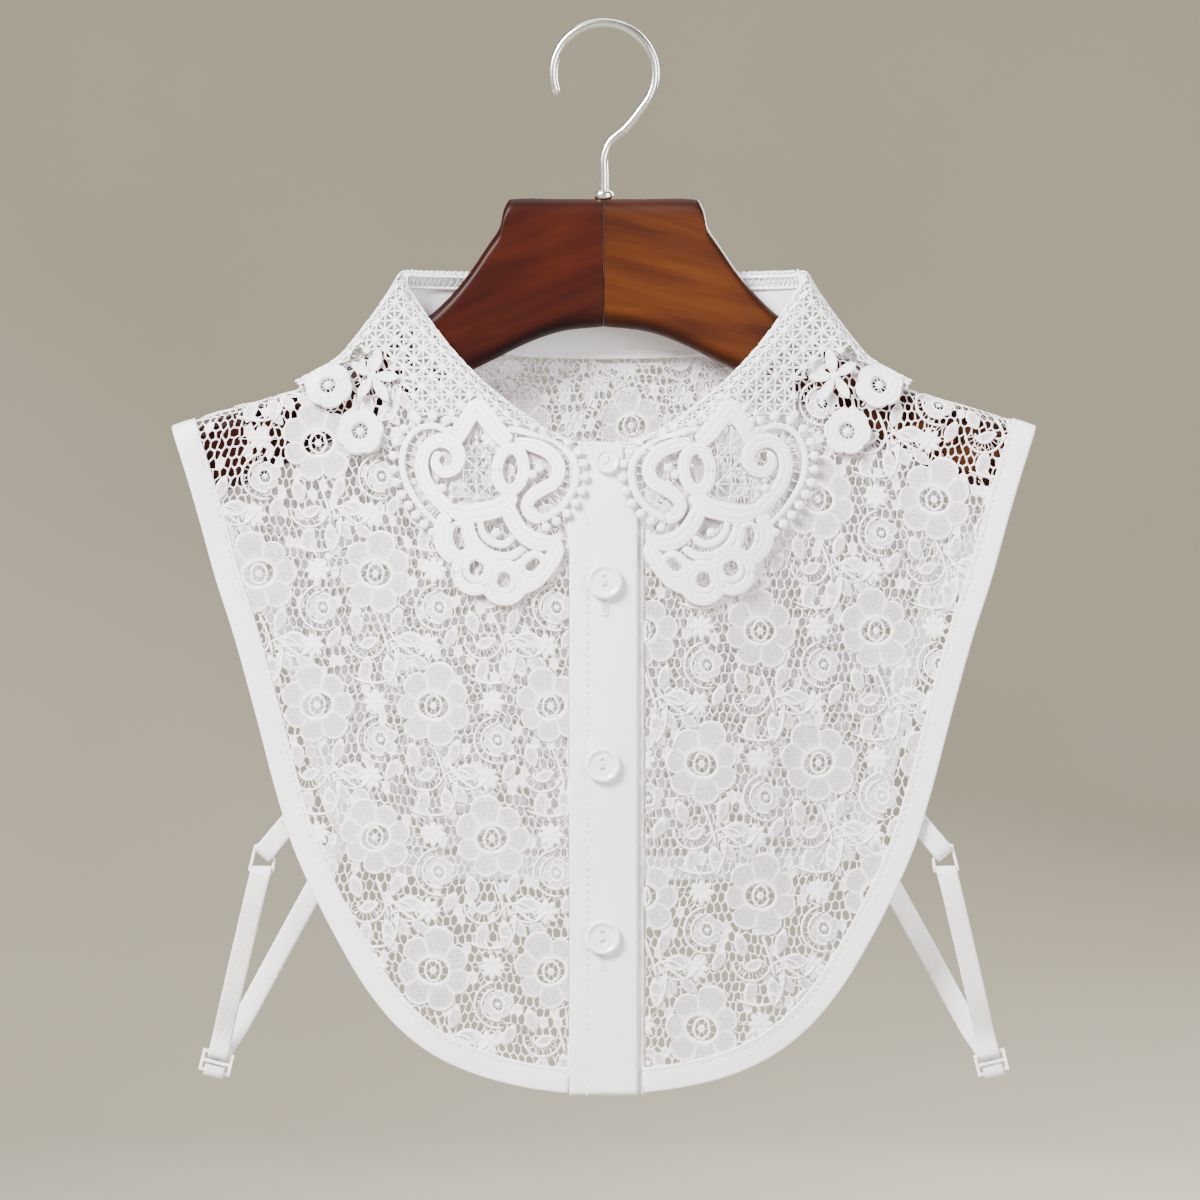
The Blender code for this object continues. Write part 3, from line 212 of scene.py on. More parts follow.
@dataclass(frozen=True)
class Drape:
    """How flat cloth hangs on one side: over a rounded ridge, then down a soft wavy surface."""

    side: Side
    layer: Layer = Layer.BODY

    def top(self, x: Array) -> tuple[Array, Array, Array]:
        """Return the ridge's height, the roll of the cloth over it and its depth there."""
        x = np.abs(x)
        if self.layer is Layer.BODY:
            ridge = through(column(BODY_RIDGE, 0), column(BODY_RIDGE, 1), x)
            inner = BODY_RIDGE[0]
            ridge = np.where(x < inner[0], inner[1] + 0.65 * (inner[0] - x), ridge)
            return ridge, np.full_like(ridge, ROLL), arm_depth(x)
        front = self.side is Side.FRONT
        fold = 3 if front else 4
        neck = x < LEAF_CORNER_X
        height = np.where(neck, through(column(NECK, 0), column(NECK, fold), x),
                          through(column(LEAF_RIDGE, 0), column(LEAF_RIDGE, 1), x))
        depth = np.where(neck, through(column(NECK, 0), column(NECK, fold + 2), x), arm_depth(x))
        near = LEAF_ROLL[0 if front else 1]
        blend = np.clip((x - 45.0) / 37.0, 0.0, 1.0)
        return height, near + (LEAF_ARM_ROLL - near) * blend, depth

    def depth(self, x: Array, z: Array) -> Array:
        """Return y of the hanging cloth: a table read in both directions, and upright waves."""
        rows = FRONT_DEPTH if self.side is Side.FRONT else BACK_DEPTH
        heights = -column(rows, 0)
        across = [through(heights, column(rows, i + 1), -z) for i in range(len(DEPTH_AT))]
        flat = through(DEPTH_AT, np.stack(across, axis=-1), np.abs(x), level_start=True)
        fall = np.clip((-190.0 - z) / 220.0, 0.0, 1.0)
        wave = 1.3 * fall * (1.0 - np.exp(-((x / 42.0) ** 2))) * np.sin(x / 10.5 + 0.8 * np.sin(z / 47.0))
        lift = self.side.value * LEAF_LIFT if self.layer is Layer.LEAF else 0.0
        return flat + wave + lift

    def place(self, flat: Array) -> Array:
        """Carry flat points onto the cloth.

        The slip past the ridge first turns round the roll, as an angle of up to a quarter turn,
        and the rest hangs down; y goes from the ridge's depth to the hanging depth with the sine
        of that angle.
        """
        x, v = flat[..., 0], flat[..., 1]
        ridge, roll, start = self.top(x)
        slip = np.maximum(ridge + roll * (math.pi / 2 - 1.0) - v, 0.0)
        angle = np.minimum(slip / roll, math.pi / 2)
        z = ridge - roll * (1.0 - np.cos(angle)) - np.maximum(slip - roll * math.pi / 2, 0.0)
        y = start + (self.depth(x, z) - start) * np.sin(angle)
        return np.stack([x, y, z], axis=-1)

    def lay(self, flat: Array, lift: Array | float = 0.0) -> tuple[Array, Array]:
        """Return flat points laid at a height above the cloth, and the cloth's normals there."""
        step = np.array([0.02, 0.0])
        drop = np.array([0.0, 0.02])
        middle = self.place(flat)
        ahead = self.place(flat + step) - self.place(flat - step)
        down = self.place(flat - drop) - middle
        normal = unit(np.cross(ahead, down) * self.side.value)
        return middle + normal * np.asarray(lift, float)[..., None], normal

    def unroll(self, seen: Array) -> Array:
        """Return the flat points of a piece that is given as seen from the front."""
        seen = np.asarray(seen, float)
        x, z = seen[..., 0], seen[..., 1]
        ridge, roll, _ = self.top(x)
        drop = np.clip(ridge - z, 0.0, None)
        flat = ridge + roll * (math.pi / 2 - 1.0) - roll * np.arccos(np.clip(1.0 - drop / roll, -1.0, 1.0))
        return np.stack([x, np.where(drop < roll, flat, z)], axis=-1)

    def ridge_limit(self, x: Array, gap: float = 0.25) -> Array:
        """Return v of the ridge seam, a little below the ridge."""
        ridge, roll, _ = self.top(x)
        return ridge + roll * (math.pi / 2 - 1.0) - gap


@dataclass
class Patchwork:
    """The surfaces of one piece, gathered as grids of points before its mesh is made."""

    name: str
    points: list[Array] = field(default_factory=list)
    quads: list[Array] = field(default_factory=list)
    marks: list[Array] = field(default_factory=list)
    uvs: list[Array] = field(default_factory=list)
    count: int = 0

    def add(self, grids: Array, uv: Array, mark: Array | float = 0.0, close_rows: bool = False,
            close_columns: bool = False) -> None:
        """Add grids of points.

        Args:
            grids: points of shape (pieces, rows, columns, 3) in millimetres.
            uv: places on the cloth for the material, of shape (pieces, rows, columns, 2).
            mark: 1 on raised thread and 0 on plain cloth, which the material reads to paint light on the thread and
                shade on the plain cloth; on the hanger it weighs the painted shade of the rounded edges.
            close_rows: join the last row to the first.
            close_columns: join the last column to the first.
        """
        pieces, rows, columns = grids.shape[:3]
        index = np.arange(pieces * rows * columns).reshape(pieces, rows, columns) + self.count
        r = np.arange(rows if close_rows else rows - 1)
        c = np.arange(columns if close_columns else columns - 1)
        r0, c0 = np.meshgrid(r, c, indexing="ij")
        r1, c1 = (r0 + 1) % rows, (c0 + 1) % columns
        quads = np.stack([index[:, r0, c0], index[:, r1, c0], index[:, r1, c1], index[:, r0, c1]], axis=-1)
        self.points.append(grids.reshape(-1, 3))
        self.quads.append(quads.reshape(-1, 4))
        self.marks.append(np.broadcast_to(np.asarray(mark, float), grids.shape[:3]).reshape(-1))
        self.uvs.append(np.broadcast_to(uv, grids.shape[:3] + (2,)).reshape(-1, 2))
        self.count += pieces * rows * columns

    def build(self, material: bpy.types.Material, rides: bool = True) -> bpy.types.Object:
        """Make the mesh object, with its uv and its thread mark; it rides on the root body."""
        points, quads = np.concatenate(self.points) * MM, np.concatenate(self.quads)
        mesh = bpy.data.meshes.new(self.name)
        mesh.vertices.add(len(points))
        mesh.vertices.foreach_set("co", points.astype(np.float32).ravel())
        mesh.loops.add(quads.size)
        mesh.loops.foreach_set("vertex_index", quads.astype(np.int32).ravel())
        mesh.polygons.add(len(quads))
        mesh.polygons.foreach_set("loop_start", np.arange(0, quads.size, 4, dtype=np.int32))
        mesh.update(calc_edges=True)
        mesh.polygons.foreach_set("use_smooth", np.ones(len(quads), bool))
        layer = mesh.uv_layers.new(name="cloth")
        layer.data.foreach_set("uv", np.concatenate(self.uvs)[quads.ravel()].astype(np.float32).ravel())
        thread = mesh.attributes.new("thread", "FLOAT", "POINT")
        thread.data.foreach_set("value", np.concatenate(self.marks).astype(np.float32))
        mesh.materials.append(material)
        piece = bpy.data.objects.new(self.name, mesh)
        bpy.context.scene.collection.objects.link(piece)
        if rides:
            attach(piece, "root")
        log.info("%s: %d quads", self.name, len(quads))
        return piece


@dataclass(frozen=True)
class Thread:
    """A cord, tape or bar laid along lines: an oval section swept with rounded ends."""

    width: float
    height: float
    lift: float
    sides: int = 6
    taper: float = 0.35
    groove: float = 0.0

    def sweep(self, into: Patchwork, points: Array, normals: Array, closed: bool = False,
              widths: Array | float = 1.0, mark: float = 1.0) -> None:
        """Sweep the section along lines of points, of shape (lines, points, 3).

        The section's point at angle a is the line plus across * half width * cos a plus
        normal * half height * sin a, where across is square to the line and to the cloth.
        """
        if closed:
            along = np.roll(points, -1, axis=1) - np.roll(points, 1, axis=1)
        else:
            along = np.gradient(points, axis=1)
        across = unit(np.cross(unit(along), normals))
        size = np.ones(points.shape[:2]) * np.asarray(widths, float)
        if not closed:
            size[:, [0, -1]] *= self.taper
            repeat = np.arange(points.shape[1])[[0, *range(points.shape[1]), -1]]
            points, normals, across, size = (rows[:, repeat] for rows in (points, normals, across, size))
            size[:, [0, -1]] = 0.0
        angle = np.arange(self.sides) * 2.0 * math.pi / self.sides
        wide = across[:, :, None] * np.cos(angle)[:, None] * (size * self.width / 2)[..., None, None]
        rise = np.sin(angle)
        if self.groove:
            rise = np.sign(rise) * np.abs(rise) ** 0.6 * (1.0 - self.groove * np.exp(-((np.cos(angle) / 0.3) ** 2)))
        tall = normals[:, :, None] * rise[:, None] * (np.minimum(size, 1.0) * self.height / 2)[..., None, None]
        rings = points[:, :, None] + wide + tall
        run = np.cumsum(np.linalg.norm(np.diff(points, axis=1, prepend=points[:, :1]), axis=-1), axis=1)
        uv = np.stack(np.broadcast_arrays(run[:, :, None], (angle / math.pi * 2.0)[None, None]), axis=-1)
        into.add(rings, uv, mark, close_rows=closed, close_columns=True)

    def lay(self, into: Patchwork, drape: Drape, lines: Array, closed: bool = False,
            widths: Array | float = 1.0, mark: float = 1.0) -> None:
        """Lay the thread on a cloth along flat lines of shape (lines, points, 2)."""
        if len(lines) == 0:
            return
        points, normals = drape.lay(np.asarray(lines, float), self.lift)
        self.sweep(into, points, normals, closed, widths, mark)


@dataclass(frozen=True)
class Plate:
    """A closely filled patch of lace, such as a petal, with a raised outline."""

    lift: float = 0.30
    rim: float = 0.32
    rim_at: float = 0.88
    dome: float = 0.0
    detail: int = 3

    def lay(self, into: Patchwork, drape: Drape, spots: Array, point: float = 0.0, lobes: int = 0,
            fit=None, mark: float = 0.0) -> None:
        """Lay one patch at each spot, a row of x, v, half length, half width and turn in degrees.

        A square grid (s, t) is drawn onto a disc, s * sqrt(1 - t * t / 2) and t * sqrt(1 - s * s / 2),
        so that its sides are the outline. Point narrows both ends, lobes scallop the rim, and the
        height rises to the raised outline at rim_at of the way out.
        """
        spots = np.asarray(spots, float).reshape(-1, 5)
        if len(spots) == 0:
            return
        knots = np.array([-1.0, *np.linspace(-self.rim_at, self.rim_at, self.detail), 1.0])
        s, t = np.meshgrid(knots, knots, indexing="ij")
        x, y = s * np.sqrt(1.0 - t * t / 2.0), t * np.sqrt(1.0 - s * s / 2.0)
        out = np.maximum(np.abs(s), np.abs(t))
        scallop = 1.0 + (0.09 * np.abs(np.cos(lobes / 2.0 * np.arctan2(y, x))) - 0.04) * out if lobes else 1.0
        x, y = x * scallop, y * scallop * (1.0 - point * x * x)
        turn = np.radians(spots[:, 4])[:, None, None]
        u, w = x * spots[:, 2, None, None], y * spots[:, 3, None, None]
        flat = np.stack([spots[:, 0, None, None] + u * np.cos(turn) - w * np.sin(turn),
                         spots[:, 1, None, None] + u * np.sin(turn) + w * np.cos(turn)], axis=-1)
        if fit is not None:
            flat = fit(flat)
        foot = min(-self.lift, -0.22)
        height = np.interp(out, (0.0, 0.74, self.rim_at, 1.0), (0.0, 0.0, self.rim, foot))
        height = height + self.dome * np.sqrt(np.clip(1.0 - out**2, 0.0, 1.0))
        step = (np.arange(len(spots)) % 5) * 0.03
        points, _ = drape.lay(flat, self.lift + height + step[:, None, None])
        # Painted light and shade: the raised outline is marked lightest (1.0), the fill darker (mark) and the foot
        # between (0.6).
        line = np.interp(out, (0.0, 0.74, self.rim_at, 1.0), (mark, mark, 1.0, 0.6))
        into.add(points, flat, np.broadcast_to(line, flat.shape[:3]))


@dataclass(frozen=True)
class Rosette:
    """A ring of petals round an open heart, filled with fine mesh and outlined by a thread.

    The rim at angle a is the reach times 1 - notch * (1 - c), where c is |cos(petals * a / 2)| to a
    power, so it is 1 in the middle of a petal and 0 between two.
    """

    heart: tuple[float, float]
    reach: tuple[float, ...]
    notch: float
    lift: float
    profile: tuple[tuple[float, float, float], ...]  # share of the way out, height, mark
    crease: float = 0.2
    sides: int = 12

    def lay(self, into: Patchwork, drape: Drape, spots: Array, fit=None) -> None:
        """Lay one at each spot, a row of x, v, scale and turn in degrees."""
        spots = np.asarray(spots, float).reshape(-1, 4)
        if len(spots) == 0:
            return
        petals = len(self.reach)
        angle = np.arange(self.sides * petals) * math.tau / (self.sides * petals)
        petal = angle * petals / math.tau
        wave = np.abs(np.cos(math.pi * petal)) ** 0.6
        reach = np.array(self.reach)[np.round(petal).astype(int) % petals]
        way = np.column_stack([np.cos(angle), np.sin(angle)])
        inner, outer = way * self.heart, way * (reach * (1.0 - self.notch * (1.0 - wave)))[:, None]
        share, height, mark = (column(self.profile, i)[:, None] for i in range(3))
        shape = inner + (outer - inner) * share[..., None]
        between = np.exp(-((wave / 0.3) ** 2)) * (share > 0.1) * (share < 0.97)
        height = height - self.crease * between
        mark = np.maximum(mark, between * 0.9)
        turn = np.radians(spots[:, 3])[:, None, None]
        u, w = shape[..., 0] * spots[:, 2, None, None], shape[..., 1] * spots[:, 2, None, None]
        flat = np.stack([spots[:, 0, None, None] + u * np.cos(turn) - w * np.sin(turn),
                         spots[:, 1, None, None] + u * np.sin(turn) + w * np.cos(turn)], axis=-1)
        if fit is not None:
            flat = fit(flat)
        points, _ = drape.lay(flat, np.broadcast_to(self.lift + height, flat.shape[:3]))
        into.add(points, flat, np.broadcast_to(mark, flat.shape[:3]), close_columns=True)


def comb(line: Array, pitch: float, length: float) -> Array:
    """Return short bars that stand to the left of a line at a pitch, of shape (bars, 2, 2)."""
    root = smooth_line(line, pitch)
    tip = moved_line(root, length)
    return np.stack([root, tip], axis=1)


def arc(centre: tuple, radii: tuple, start: float, end: float, count: int, growth: float = 1.0) -> Array:
    """Return points on an oval arc from one angle to another, growing on its way.

    The point at angle a is the centre plus (first radius * cos a, second radius * sin a), times a
    factor that goes evenly from 1 to growth.
    """
    angle = np.radians(np.linspace(start, end, count))
    grow = np.linspace(1.0, growth, count)
    return np.column_stack([centre[0] + radii[0] * grow * np.cos(angle),
                            centre[1] + radii[1] * grow * np.sin(angle)])


def rungs(first: Array, second: Array, skip: int = 1) -> Array:
    """Return the short bars that join two lines point by point, of shape (bars, 2, 2)."""
    return np.stack([first[skip:-skip or None], second[skip:-skip or None]], axis=1)


# Floral lace, one repeat measured from the middle of its large flower
REPEAT = (46.8, 52.5)
FLOWER = Rosette(
    heart=(5.0, 6.1), reach=(17.2, 15.0, 13.9, 15.1, 16.0, 14.8, 14.2), notch=0.23, lift=-0.45,
    profile=((-0.05, -0.2, 0.8), (0.0, 0.22, 1.0), (0.07, 0.24, 1.0), (0.14, 0.03, 0.2), (0.30, 0.0, 0.0),
             (0.80, 0.0, 0.0), (0.90, 0.05, 0.3), (0.94, 0.24, 1.0), (0.98, 0.14, 0.9), (1.0, -0.4, 0.7)),
    crease=0.12)
FLOWER_COVER = (14.2, 13.2)
SMALL_FLOWER = Rosette(
    heart=(2.3, 2.8), reach=(6.7, 6.0, 6.4, 5.9, 6.6, 6.1), notch=0.2, lift=-0.42,
    profile=((-0.1, -0.2, 0.8), (0.0, 0.16, 1.0), (0.14, 0.16, 1.0), (0.26, 0.0, 0.1), (0.78, 0.0, 0.1),
             (0.90, 0.16, 1.0), (1.0, -0.35, 0.7)), crease=0.1, sides=8)
LEAVES = (  # x, z, half length, half width, turn
    (8.4, -18.2, 5.2, 2.5, 74.0), (-7.8, -19.4, 5.0, 2.8, 106.0), (13.4, -26.0, 5.4, 3.1, 8.0),
    (5.4, -37.6, 5.4, 2.7, 98.0), (19.4, 14.0, 5.9, 2.8, 78.0), (-12.8, 17.4, 4.8, 2.4, 128.0),
    (30.2, -25.4, 4.8, 2.5, 62.0), (18.2, -35.4, 4.4, 2.3, -38.0), (-2.6, -27.4, 4.4, 2.2, 20.0),
    (29.6, 10.8, 4.6, 2.2, 130.0),
)
STARS = ((23.4, 1.6), (-2.2, 23.8))  # x, z
DAISY = (25.6, -13.4)
LADDERS = (  # x, z, inner radius, outer radius, first and last angle, bars
    (-3.4, -26.2, 3.6, 7.6, 176.0, 352.0, 10), (14.2, -24.4, 4.6, 8.6, 196.0, 338.0, 8),
    (25.6, -13.4, 6.4, 9.2, 96.0, 286.0, 11), (-13.6, 19.4, 4.2, 7.6, 10.0, 150.0, 8),
)
STEMS = (  # start x, z, bend x, z, end x, z
    (0.4, -16.4, 4.6, -25.0, 5.6, -33.0), (5.4, -22.0, 9.6, -30.2, 18.4, -33.2), (23.6, 6.6, 21.6, 9.4, 20.4, 12.0),
    (5.6, -42.4, -1.0, -45.2, -9.6, -41.0), (28.6, 8.0, 33.6, 14.4, 32.6, 24.0),
)
HEART = (5.4, 6.9)
NET_CELL = (2.95, 3.95)  # across and down from one cell to the next
NET_POINT = 2.55  # from a cell's middle to its upper and lower corner
NET_THREAD = 0.62
NET_FILLED = 0.10
LACE_LIFT = -0.85


@dataclass
class FloralLace:
    """Machine lace: a drawn net with flowers, leaves, stars and ladders that lie on it."""

    drape: Drape
    outline: Array
    flower: tuple[float, float]
    limits: tuple[float, float]
    seed: int
    coarse: bool = False

    def thread(self, width: float, height: float, lift: float) -> Thread:
        """Return a thread of this lace, with fewer sides on the back, which is mostly seen through."""
        return Thread(width, height, LACE_LIFT + lift, 4 if self.coarse else 5)

    def repeats(self) -> Array:
        """Return the middles of the large flowers, every second row moved by half a repeat."""
        i, j = np.meshgrid(np.arange(-6, 7), np.arange(-6, 7), indexing="ij")
        x = self.flower[0] + REPEAT[0] * (i + 0.5 * (j % 2))
        v = self.flower[1] + REPEAT[1] * j
        return np.stack([x, v], axis=-1).reshape(-1, 2)

    def fit(self, flat: Array) -> Array:
        """Keep flat points within the neck seam, the shoulder seam and the button band."""
        low, high = self.outline[:, 0].min(), self.outline[:, 0].max()
        x = np.clip(flat[..., 0], max(self.limits[0], low), min(self.limits[1], high))
        seam = through(column(NECK, 0), column(NECK, 1 if self.drape.side is Side.FRONT else 2),
                       np.abs(x)) - 0.5
        ridge = self.drape.ridge_limit(x)
        limit = np.where(np.abs(x) < NECK_POINT_X, np.minimum(seam, ridge), ridge)
        points = np.stack([x, np.minimum(flat[..., 1], limit)], axis=-1)
        line = np.vstack([self.outline, self.outline[:1]])
        over = ~inside(points, self.outline) & (points[..., 1] < limit - 1.0)
        beyond = points[over]
        if len(beyond):
            start, step = line[:-1], np.diff(line, axis=0)
            share = np.clip(((beyond[:, None] - start) * step).sum(-1) / np.maximum((step**2).sum(-1), 1e-9), 0.0, 1.0)
            foot = start + share[..., None] * step
            best = np.argmin(((beyond[:, None] - foot) ** 2).sum(-1), axis=1)
            points[over] = foot[np.arange(len(beyond)), best]
        return points

    def near(self, middles: Array, reach: float) -> Array:
        """Return which places lie on the cloth or no further from it than a reach."""
        steps = np.array([(0, 0), (1, 0), (-1, 0), (0, 1), (0, -1)]) * reach
        return inside(middles[:, None] + steps, self.outline).any(axis=1)

    def spots(self, table: tuple, reach: float = 1.5) -> Array:
        """Return every copy of a table of patches that touches the cloth."""
        rows = np.array(table, float)
        all_rows = np.repeat(rows[None], len(self.repeats()), axis=0)
        all_rows[:, :, :2] += self.repeats()[:, None]
        all_rows = all_rows.reshape(-1, rows.shape[1])
        return all_rows[self.near(all_rows[:, :2], reach)]

    def kept(self, lines: Array) -> Array:
        """Keep the lines whose middle point lies on the cloth."""
        middle = lines[:, lines.shape[1] // 2]
        return self.fit(lines[inside(middle, self.outline)]) if len(lines) else lines

    def flowers(self) -> Array:
        """Return the large flowers, none of them close under a shoulder or the neck: x, v, scale, turn."""
        spots = self.spots(((0.0, 0.0, 1.0, 90.0),), 12.0)
        gap = np.where(np.abs(spots[:, 0]) > 84.0, 27.0, 6.0)
        return spots[spots[:, 1] < self.drape.ridge_limit(spots[:, 0]) - gap]

    def covers(self) -> Array:
        """Return the ovals under which no net is made: x, v, half length, half width, turn."""
        petals = self.spots(LEAVES)
        hearts = np.hstack([self.flowers()[:, :2], np.tile((*FLOWER_COVER, 90.0), (len(self.flowers()), 1))])
        daisies = self.spots(((*DAISY, 6.4, 6.4, 0.0),))
        stars = self.spots(tuple((*spot, 4.4, 4.4, 0.0) for spot in STARS))
        return np.vstack([petals, hearts, daisies, stars])

    def is_covered(self, points: Array) -> Array:
        """Return which points lie under a patch or in a ladder."""
        covered = np.zeros(points.shape[:-1], bool)
        for x, v, long, wide, turn in self.covers():
            dx, dv = points[..., 0] - x, points[..., 1] - v
            tilt = math.radians(turn)
            u, w = dx * math.cos(tilt) + dv * math.sin(tilt), dv * math.cos(tilt) - dx * math.sin(tilt)
            covered |= (u / long) ** 2 + (w / wide) ** 2 < 1.0
        for x, v, near, far, first, last, _ in self.spots(LADDERS):
            dx, dv = points[..., 0] - x, points[..., 1] - v
            turn = (np.degrees(np.arctan2(dv, dx)) - first) % 360.0
            distance = np.hypot(dx, dv)
            covered |= (distance > near) & (distance < far) & (turn < last - first)
        return covered

    def cells(self) -> tuple[Array, Array]:
        """Return the net's cells: six or twelve points round each, and each middle.

        Each cell is a six-sided one, taller than wide. Its corners are shared with the cells next
        to it, and every corner is moved a little, by chance and by slow waves.
        """
        low, high = self.outline.min(axis=0) - 6.0, self.outline.max(axis=0) + 6.0
        across, down = NET_CELL
        columns, rows = int((high[0] - low[0]) / across) + 3, int((high[1] - low[1]) / down) + 3
        i, j = np.meshgrid(np.arange(columns), np.arange(rows), indexing="ij")
        x, v = low[0] + across * (i + 0.5 * (j % 2)), low[1] + down * j
        chance = np.random.default_rng(self.seed)

        def corner(rise: float) -> Array:
            point = np.stack([x, v + rise], axis=-1)
            point += chance.normal(0.0, 0.26, point.shape)
            point[..., 0] += 0.9 * np.sin(point[..., 1] / 9.0 + 0.7 * np.sin(point[..., 0] / 13.0))
            point[..., 1] += 1.1 * np.sin(point[..., 0] / 7.5 + 1.3)
            return point

        upper, lower = corner(NET_POINT), corner(-NET_POINT)
        ci, cj = i[1:-1, 1:-1], j[1:-1, 1:-1]
        right = ci + cj % 2
        loop = np.stack([upper[ci, cj], lower[right, cj + 1], upper[right, cj - 1], lower[ci, cj],
                         upper[right - 1, cj - 1], lower[right - 1, cj + 1]], axis=2).reshape(-1, 6, 2)
        middle = loop.mean(axis=1)
        half = (loop + np.roll(loop, -1, axis=1)) / 2
        around = loop if self.coarse else np.stack([loop, half], axis=2).reshape(-1, 12, 2)
        keep = self.near(middle, 2.0)
        around, middle = around[keep], middle[keep]
        keep = ~self.is_covered(around).all(axis=1)
        return around[keep], middle[keep]

    def lay_net(self, into: Patchwork) -> None:
        """Lay the net: round each cell a band from the thread's ridge down to the hole's edge."""
        around, middle = self.cells()
        chance = np.random.default_rng(self.seed + 1)
        spokes = around - middle[:, None]
        reach = np.linalg.norm(spokes, axis=2, keepdims=True)
        inset = np.tile([1.42, 1.0], 6)[None, ::2 if self.coarse else 1, None] * NET_THREAD / 2
        inset = inset * chance.uniform(0.8, 1.35, (len(middle), 1, 1))
        hole = middle[:, None] + spokes * np.maximum(1.0 - inset / reach, 0.12)
        filled = chance.random(len(middle)) < NET_FILLED
        hole[filled] = middle[filled, None] + spokes[filled] * 0.03
        grids = self.fit(np.stack([around, hole], axis=1))
        height = LACE_LIFT + np.array([0.34, 0.0])[None, :, None]
        points, _ = self.drape.lay(grids, np.broadcast_to(height, grids.shape[:3]))
        # Painted light and shade: the thread is marked lighter on its ridge (0.8) and darker down at the hole's edge
        # (0.45).
        mark = np.broadcast_to(np.array([0.8, 0.45])[None, :, None], grids.shape[:3])
        into.add(points, grids, mark, close_columns=True)

    def lay_flowers(self, into: Patchwork) -> None:
        """Lay the large flowers and the leaves, and in each open heart a small net of rings and rays."""
        chance = np.random.default_rng(self.seed + 4)
        middles = self.flowers()
        middles[:, 2] += chance.uniform(-0.06, 0.05, len(middles))
        middles[:, 3] += chance.uniform(-26.0, 26.0, len(middles))
        FLOWER.lay(into, self.drape, middles, self.fit)
        leaf = Plate(LACE_LIFT + 0.42, 0.16, 0.88, detail=3 if self.coarse else 5)
        leaf.lay(into, self.drape, self.spots(LEAVES), point=0.42, fit=self.fit)
        turn = np.radians(np.arange(0.0, 360.0, 22.5 if self.coarse else 15.0))
        circle = np.column_stack([np.cos(turn), np.sin(turn)])
        near = middles[:, :2]
        for scale, width in ((0.58, 1.2), (0.13, 1.5)):
            wobble = chance.normal(1.0, 0.05, (len(near), len(circle), 1))
            loops = near[:, None] + circle * HEART * scale * wobble
            self.thread(width, 0.6, 0.4).lay(into, self.drape, self.fit(loops), closed=True)
        for first, step, shares in ((0, 4, (0.1, 0.6)), (1, 2, (0.56, 1.06))):
            spoke = np.stack([circle[first::step] * HEART * np.array(r) for r in shares], axis=1)
            lines = (near[:, None, None] + spoke).reshape(-1, 2, 2)
            self.thread(0.85, 0.5, 0.35).lay(into, self.drape, self.kept(lines))

    def lay_small_flowers(self, into: Patchwork) -> None:
        """Lay the stars, with their rays, and the daisies, with their rings."""
        ray = np.radians(np.arange(8) * 45.0)
        petals = tuple((sx + 2.7 * math.cos(a), sv + 2.7 * math.sin(a), 2.6, 1.35, math.degrees(a))
                       for sx, sv in STARS for a in ray)
        small = Plate(LACE_LIFT + 0.45, 0.1, 0.7)
        small.lay(into, self.drape, self.spots(petals), point=0.3, fit=self.fit, mark=1.0)
        small.lay(into, self.drape, self.spots(tuple((*spot, 1.9, 1.9, 0.0) for spot in STARS)), fit=self.fit, mark=1.0)
        way = np.column_stack([np.cos(ray), np.sin(ray)])
        lines = np.stack([way * r for r in (4.6, 8.4)], axis=1)
        stars = self.spots(STARS)
        self.thread(0.8, 0.5, 0.4).lay(into, self.drape, self.kept((stars[:, None, None] + lines).reshape(-1, 2, 2)))
        SMALL_FLOWER.lay(into, self.drape, self.spots(((*DAISY, 1.0, 20.0),)), self.fit)
        small.lay(into, self.drape, self.spots(((*DAISY, 1.1, 1.1, 0.0),)), fit=self.fit, mark=1.0)
        spokes = np.stack([np.column_stack([np.cos(ray + 0.2), np.sin(ray + 0.2)]) * r for r in (0.9, 2.9)], axis=1)
        middles = self.spots((DAISY,))
        self.thread(0.7, 0.5, 0.35).lay(
            into, self.drape, self.kept((middles[:, None, None] + spokes).reshape(-1, 2, 2)))

    def lay_ladders(self, into: Patchwork) -> None:
        """Lay the ladders, two bowed cords joined by bars, and the stems."""
        middles = self.repeats()
        for x, z, near, far, first, last, bars in LADDERS:
            inner = arc((x, z), (near, near), first, last, bars + 2)
            outer = arc((x, z), (far, far), first, last, bars + 2)
            lines = (middles[:, None, None] + np.stack([inner, outer])).reshape(-1, bars + 2, 2)
            self.thread(1.05, 0.8, 0.6).lay(into, self.drape, self.kept(lines))
            steps = (middles[:, None, None] + rungs(inner, outer)).reshape(-1, 2, 2)
            self.thread(0.75, 0.5, 0.4).lay(into, self.drape, self.kept(steps))
        t = np.linspace(0.0, 1.0, 7)[:, None]
        stems = np.array([(1 - t) ** 2 * row[:2] + 2 * t * (1 - t) * row[2:4] + t**2 * row[4:]
                          for row in np.array(STEMS)])
        self.thread(1.2, 0.9, 0.6).lay(into, self.drape, self.kept((middles[:, None, None] + stems).reshape(-1, 7, 2)))

    def build(self, name: str, material: bpy.types.Material, nodes: tuple[str, ...]) -> bpy.types.Object:
        """Make the whole lace piece in place of its solids."""
        work = Patchwork(name)
        self.lay_net(work)
        self.lay_flowers(work)
        self.lay_small_flowers(work)
        self.lay_ladders(work)
        piece = work.build(material)
        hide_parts(*nodes)
        return piece

    def declare(self, piece: bpy.types.Object, rests_on: list[str], with_pieces: list) -> None:
        """Work out the size and the area of the lace's outline; nothing is done with them."""
        size = np.ptp(self.outline, axis=0) * MM
        polygon_area(self.outline) * MM * MM


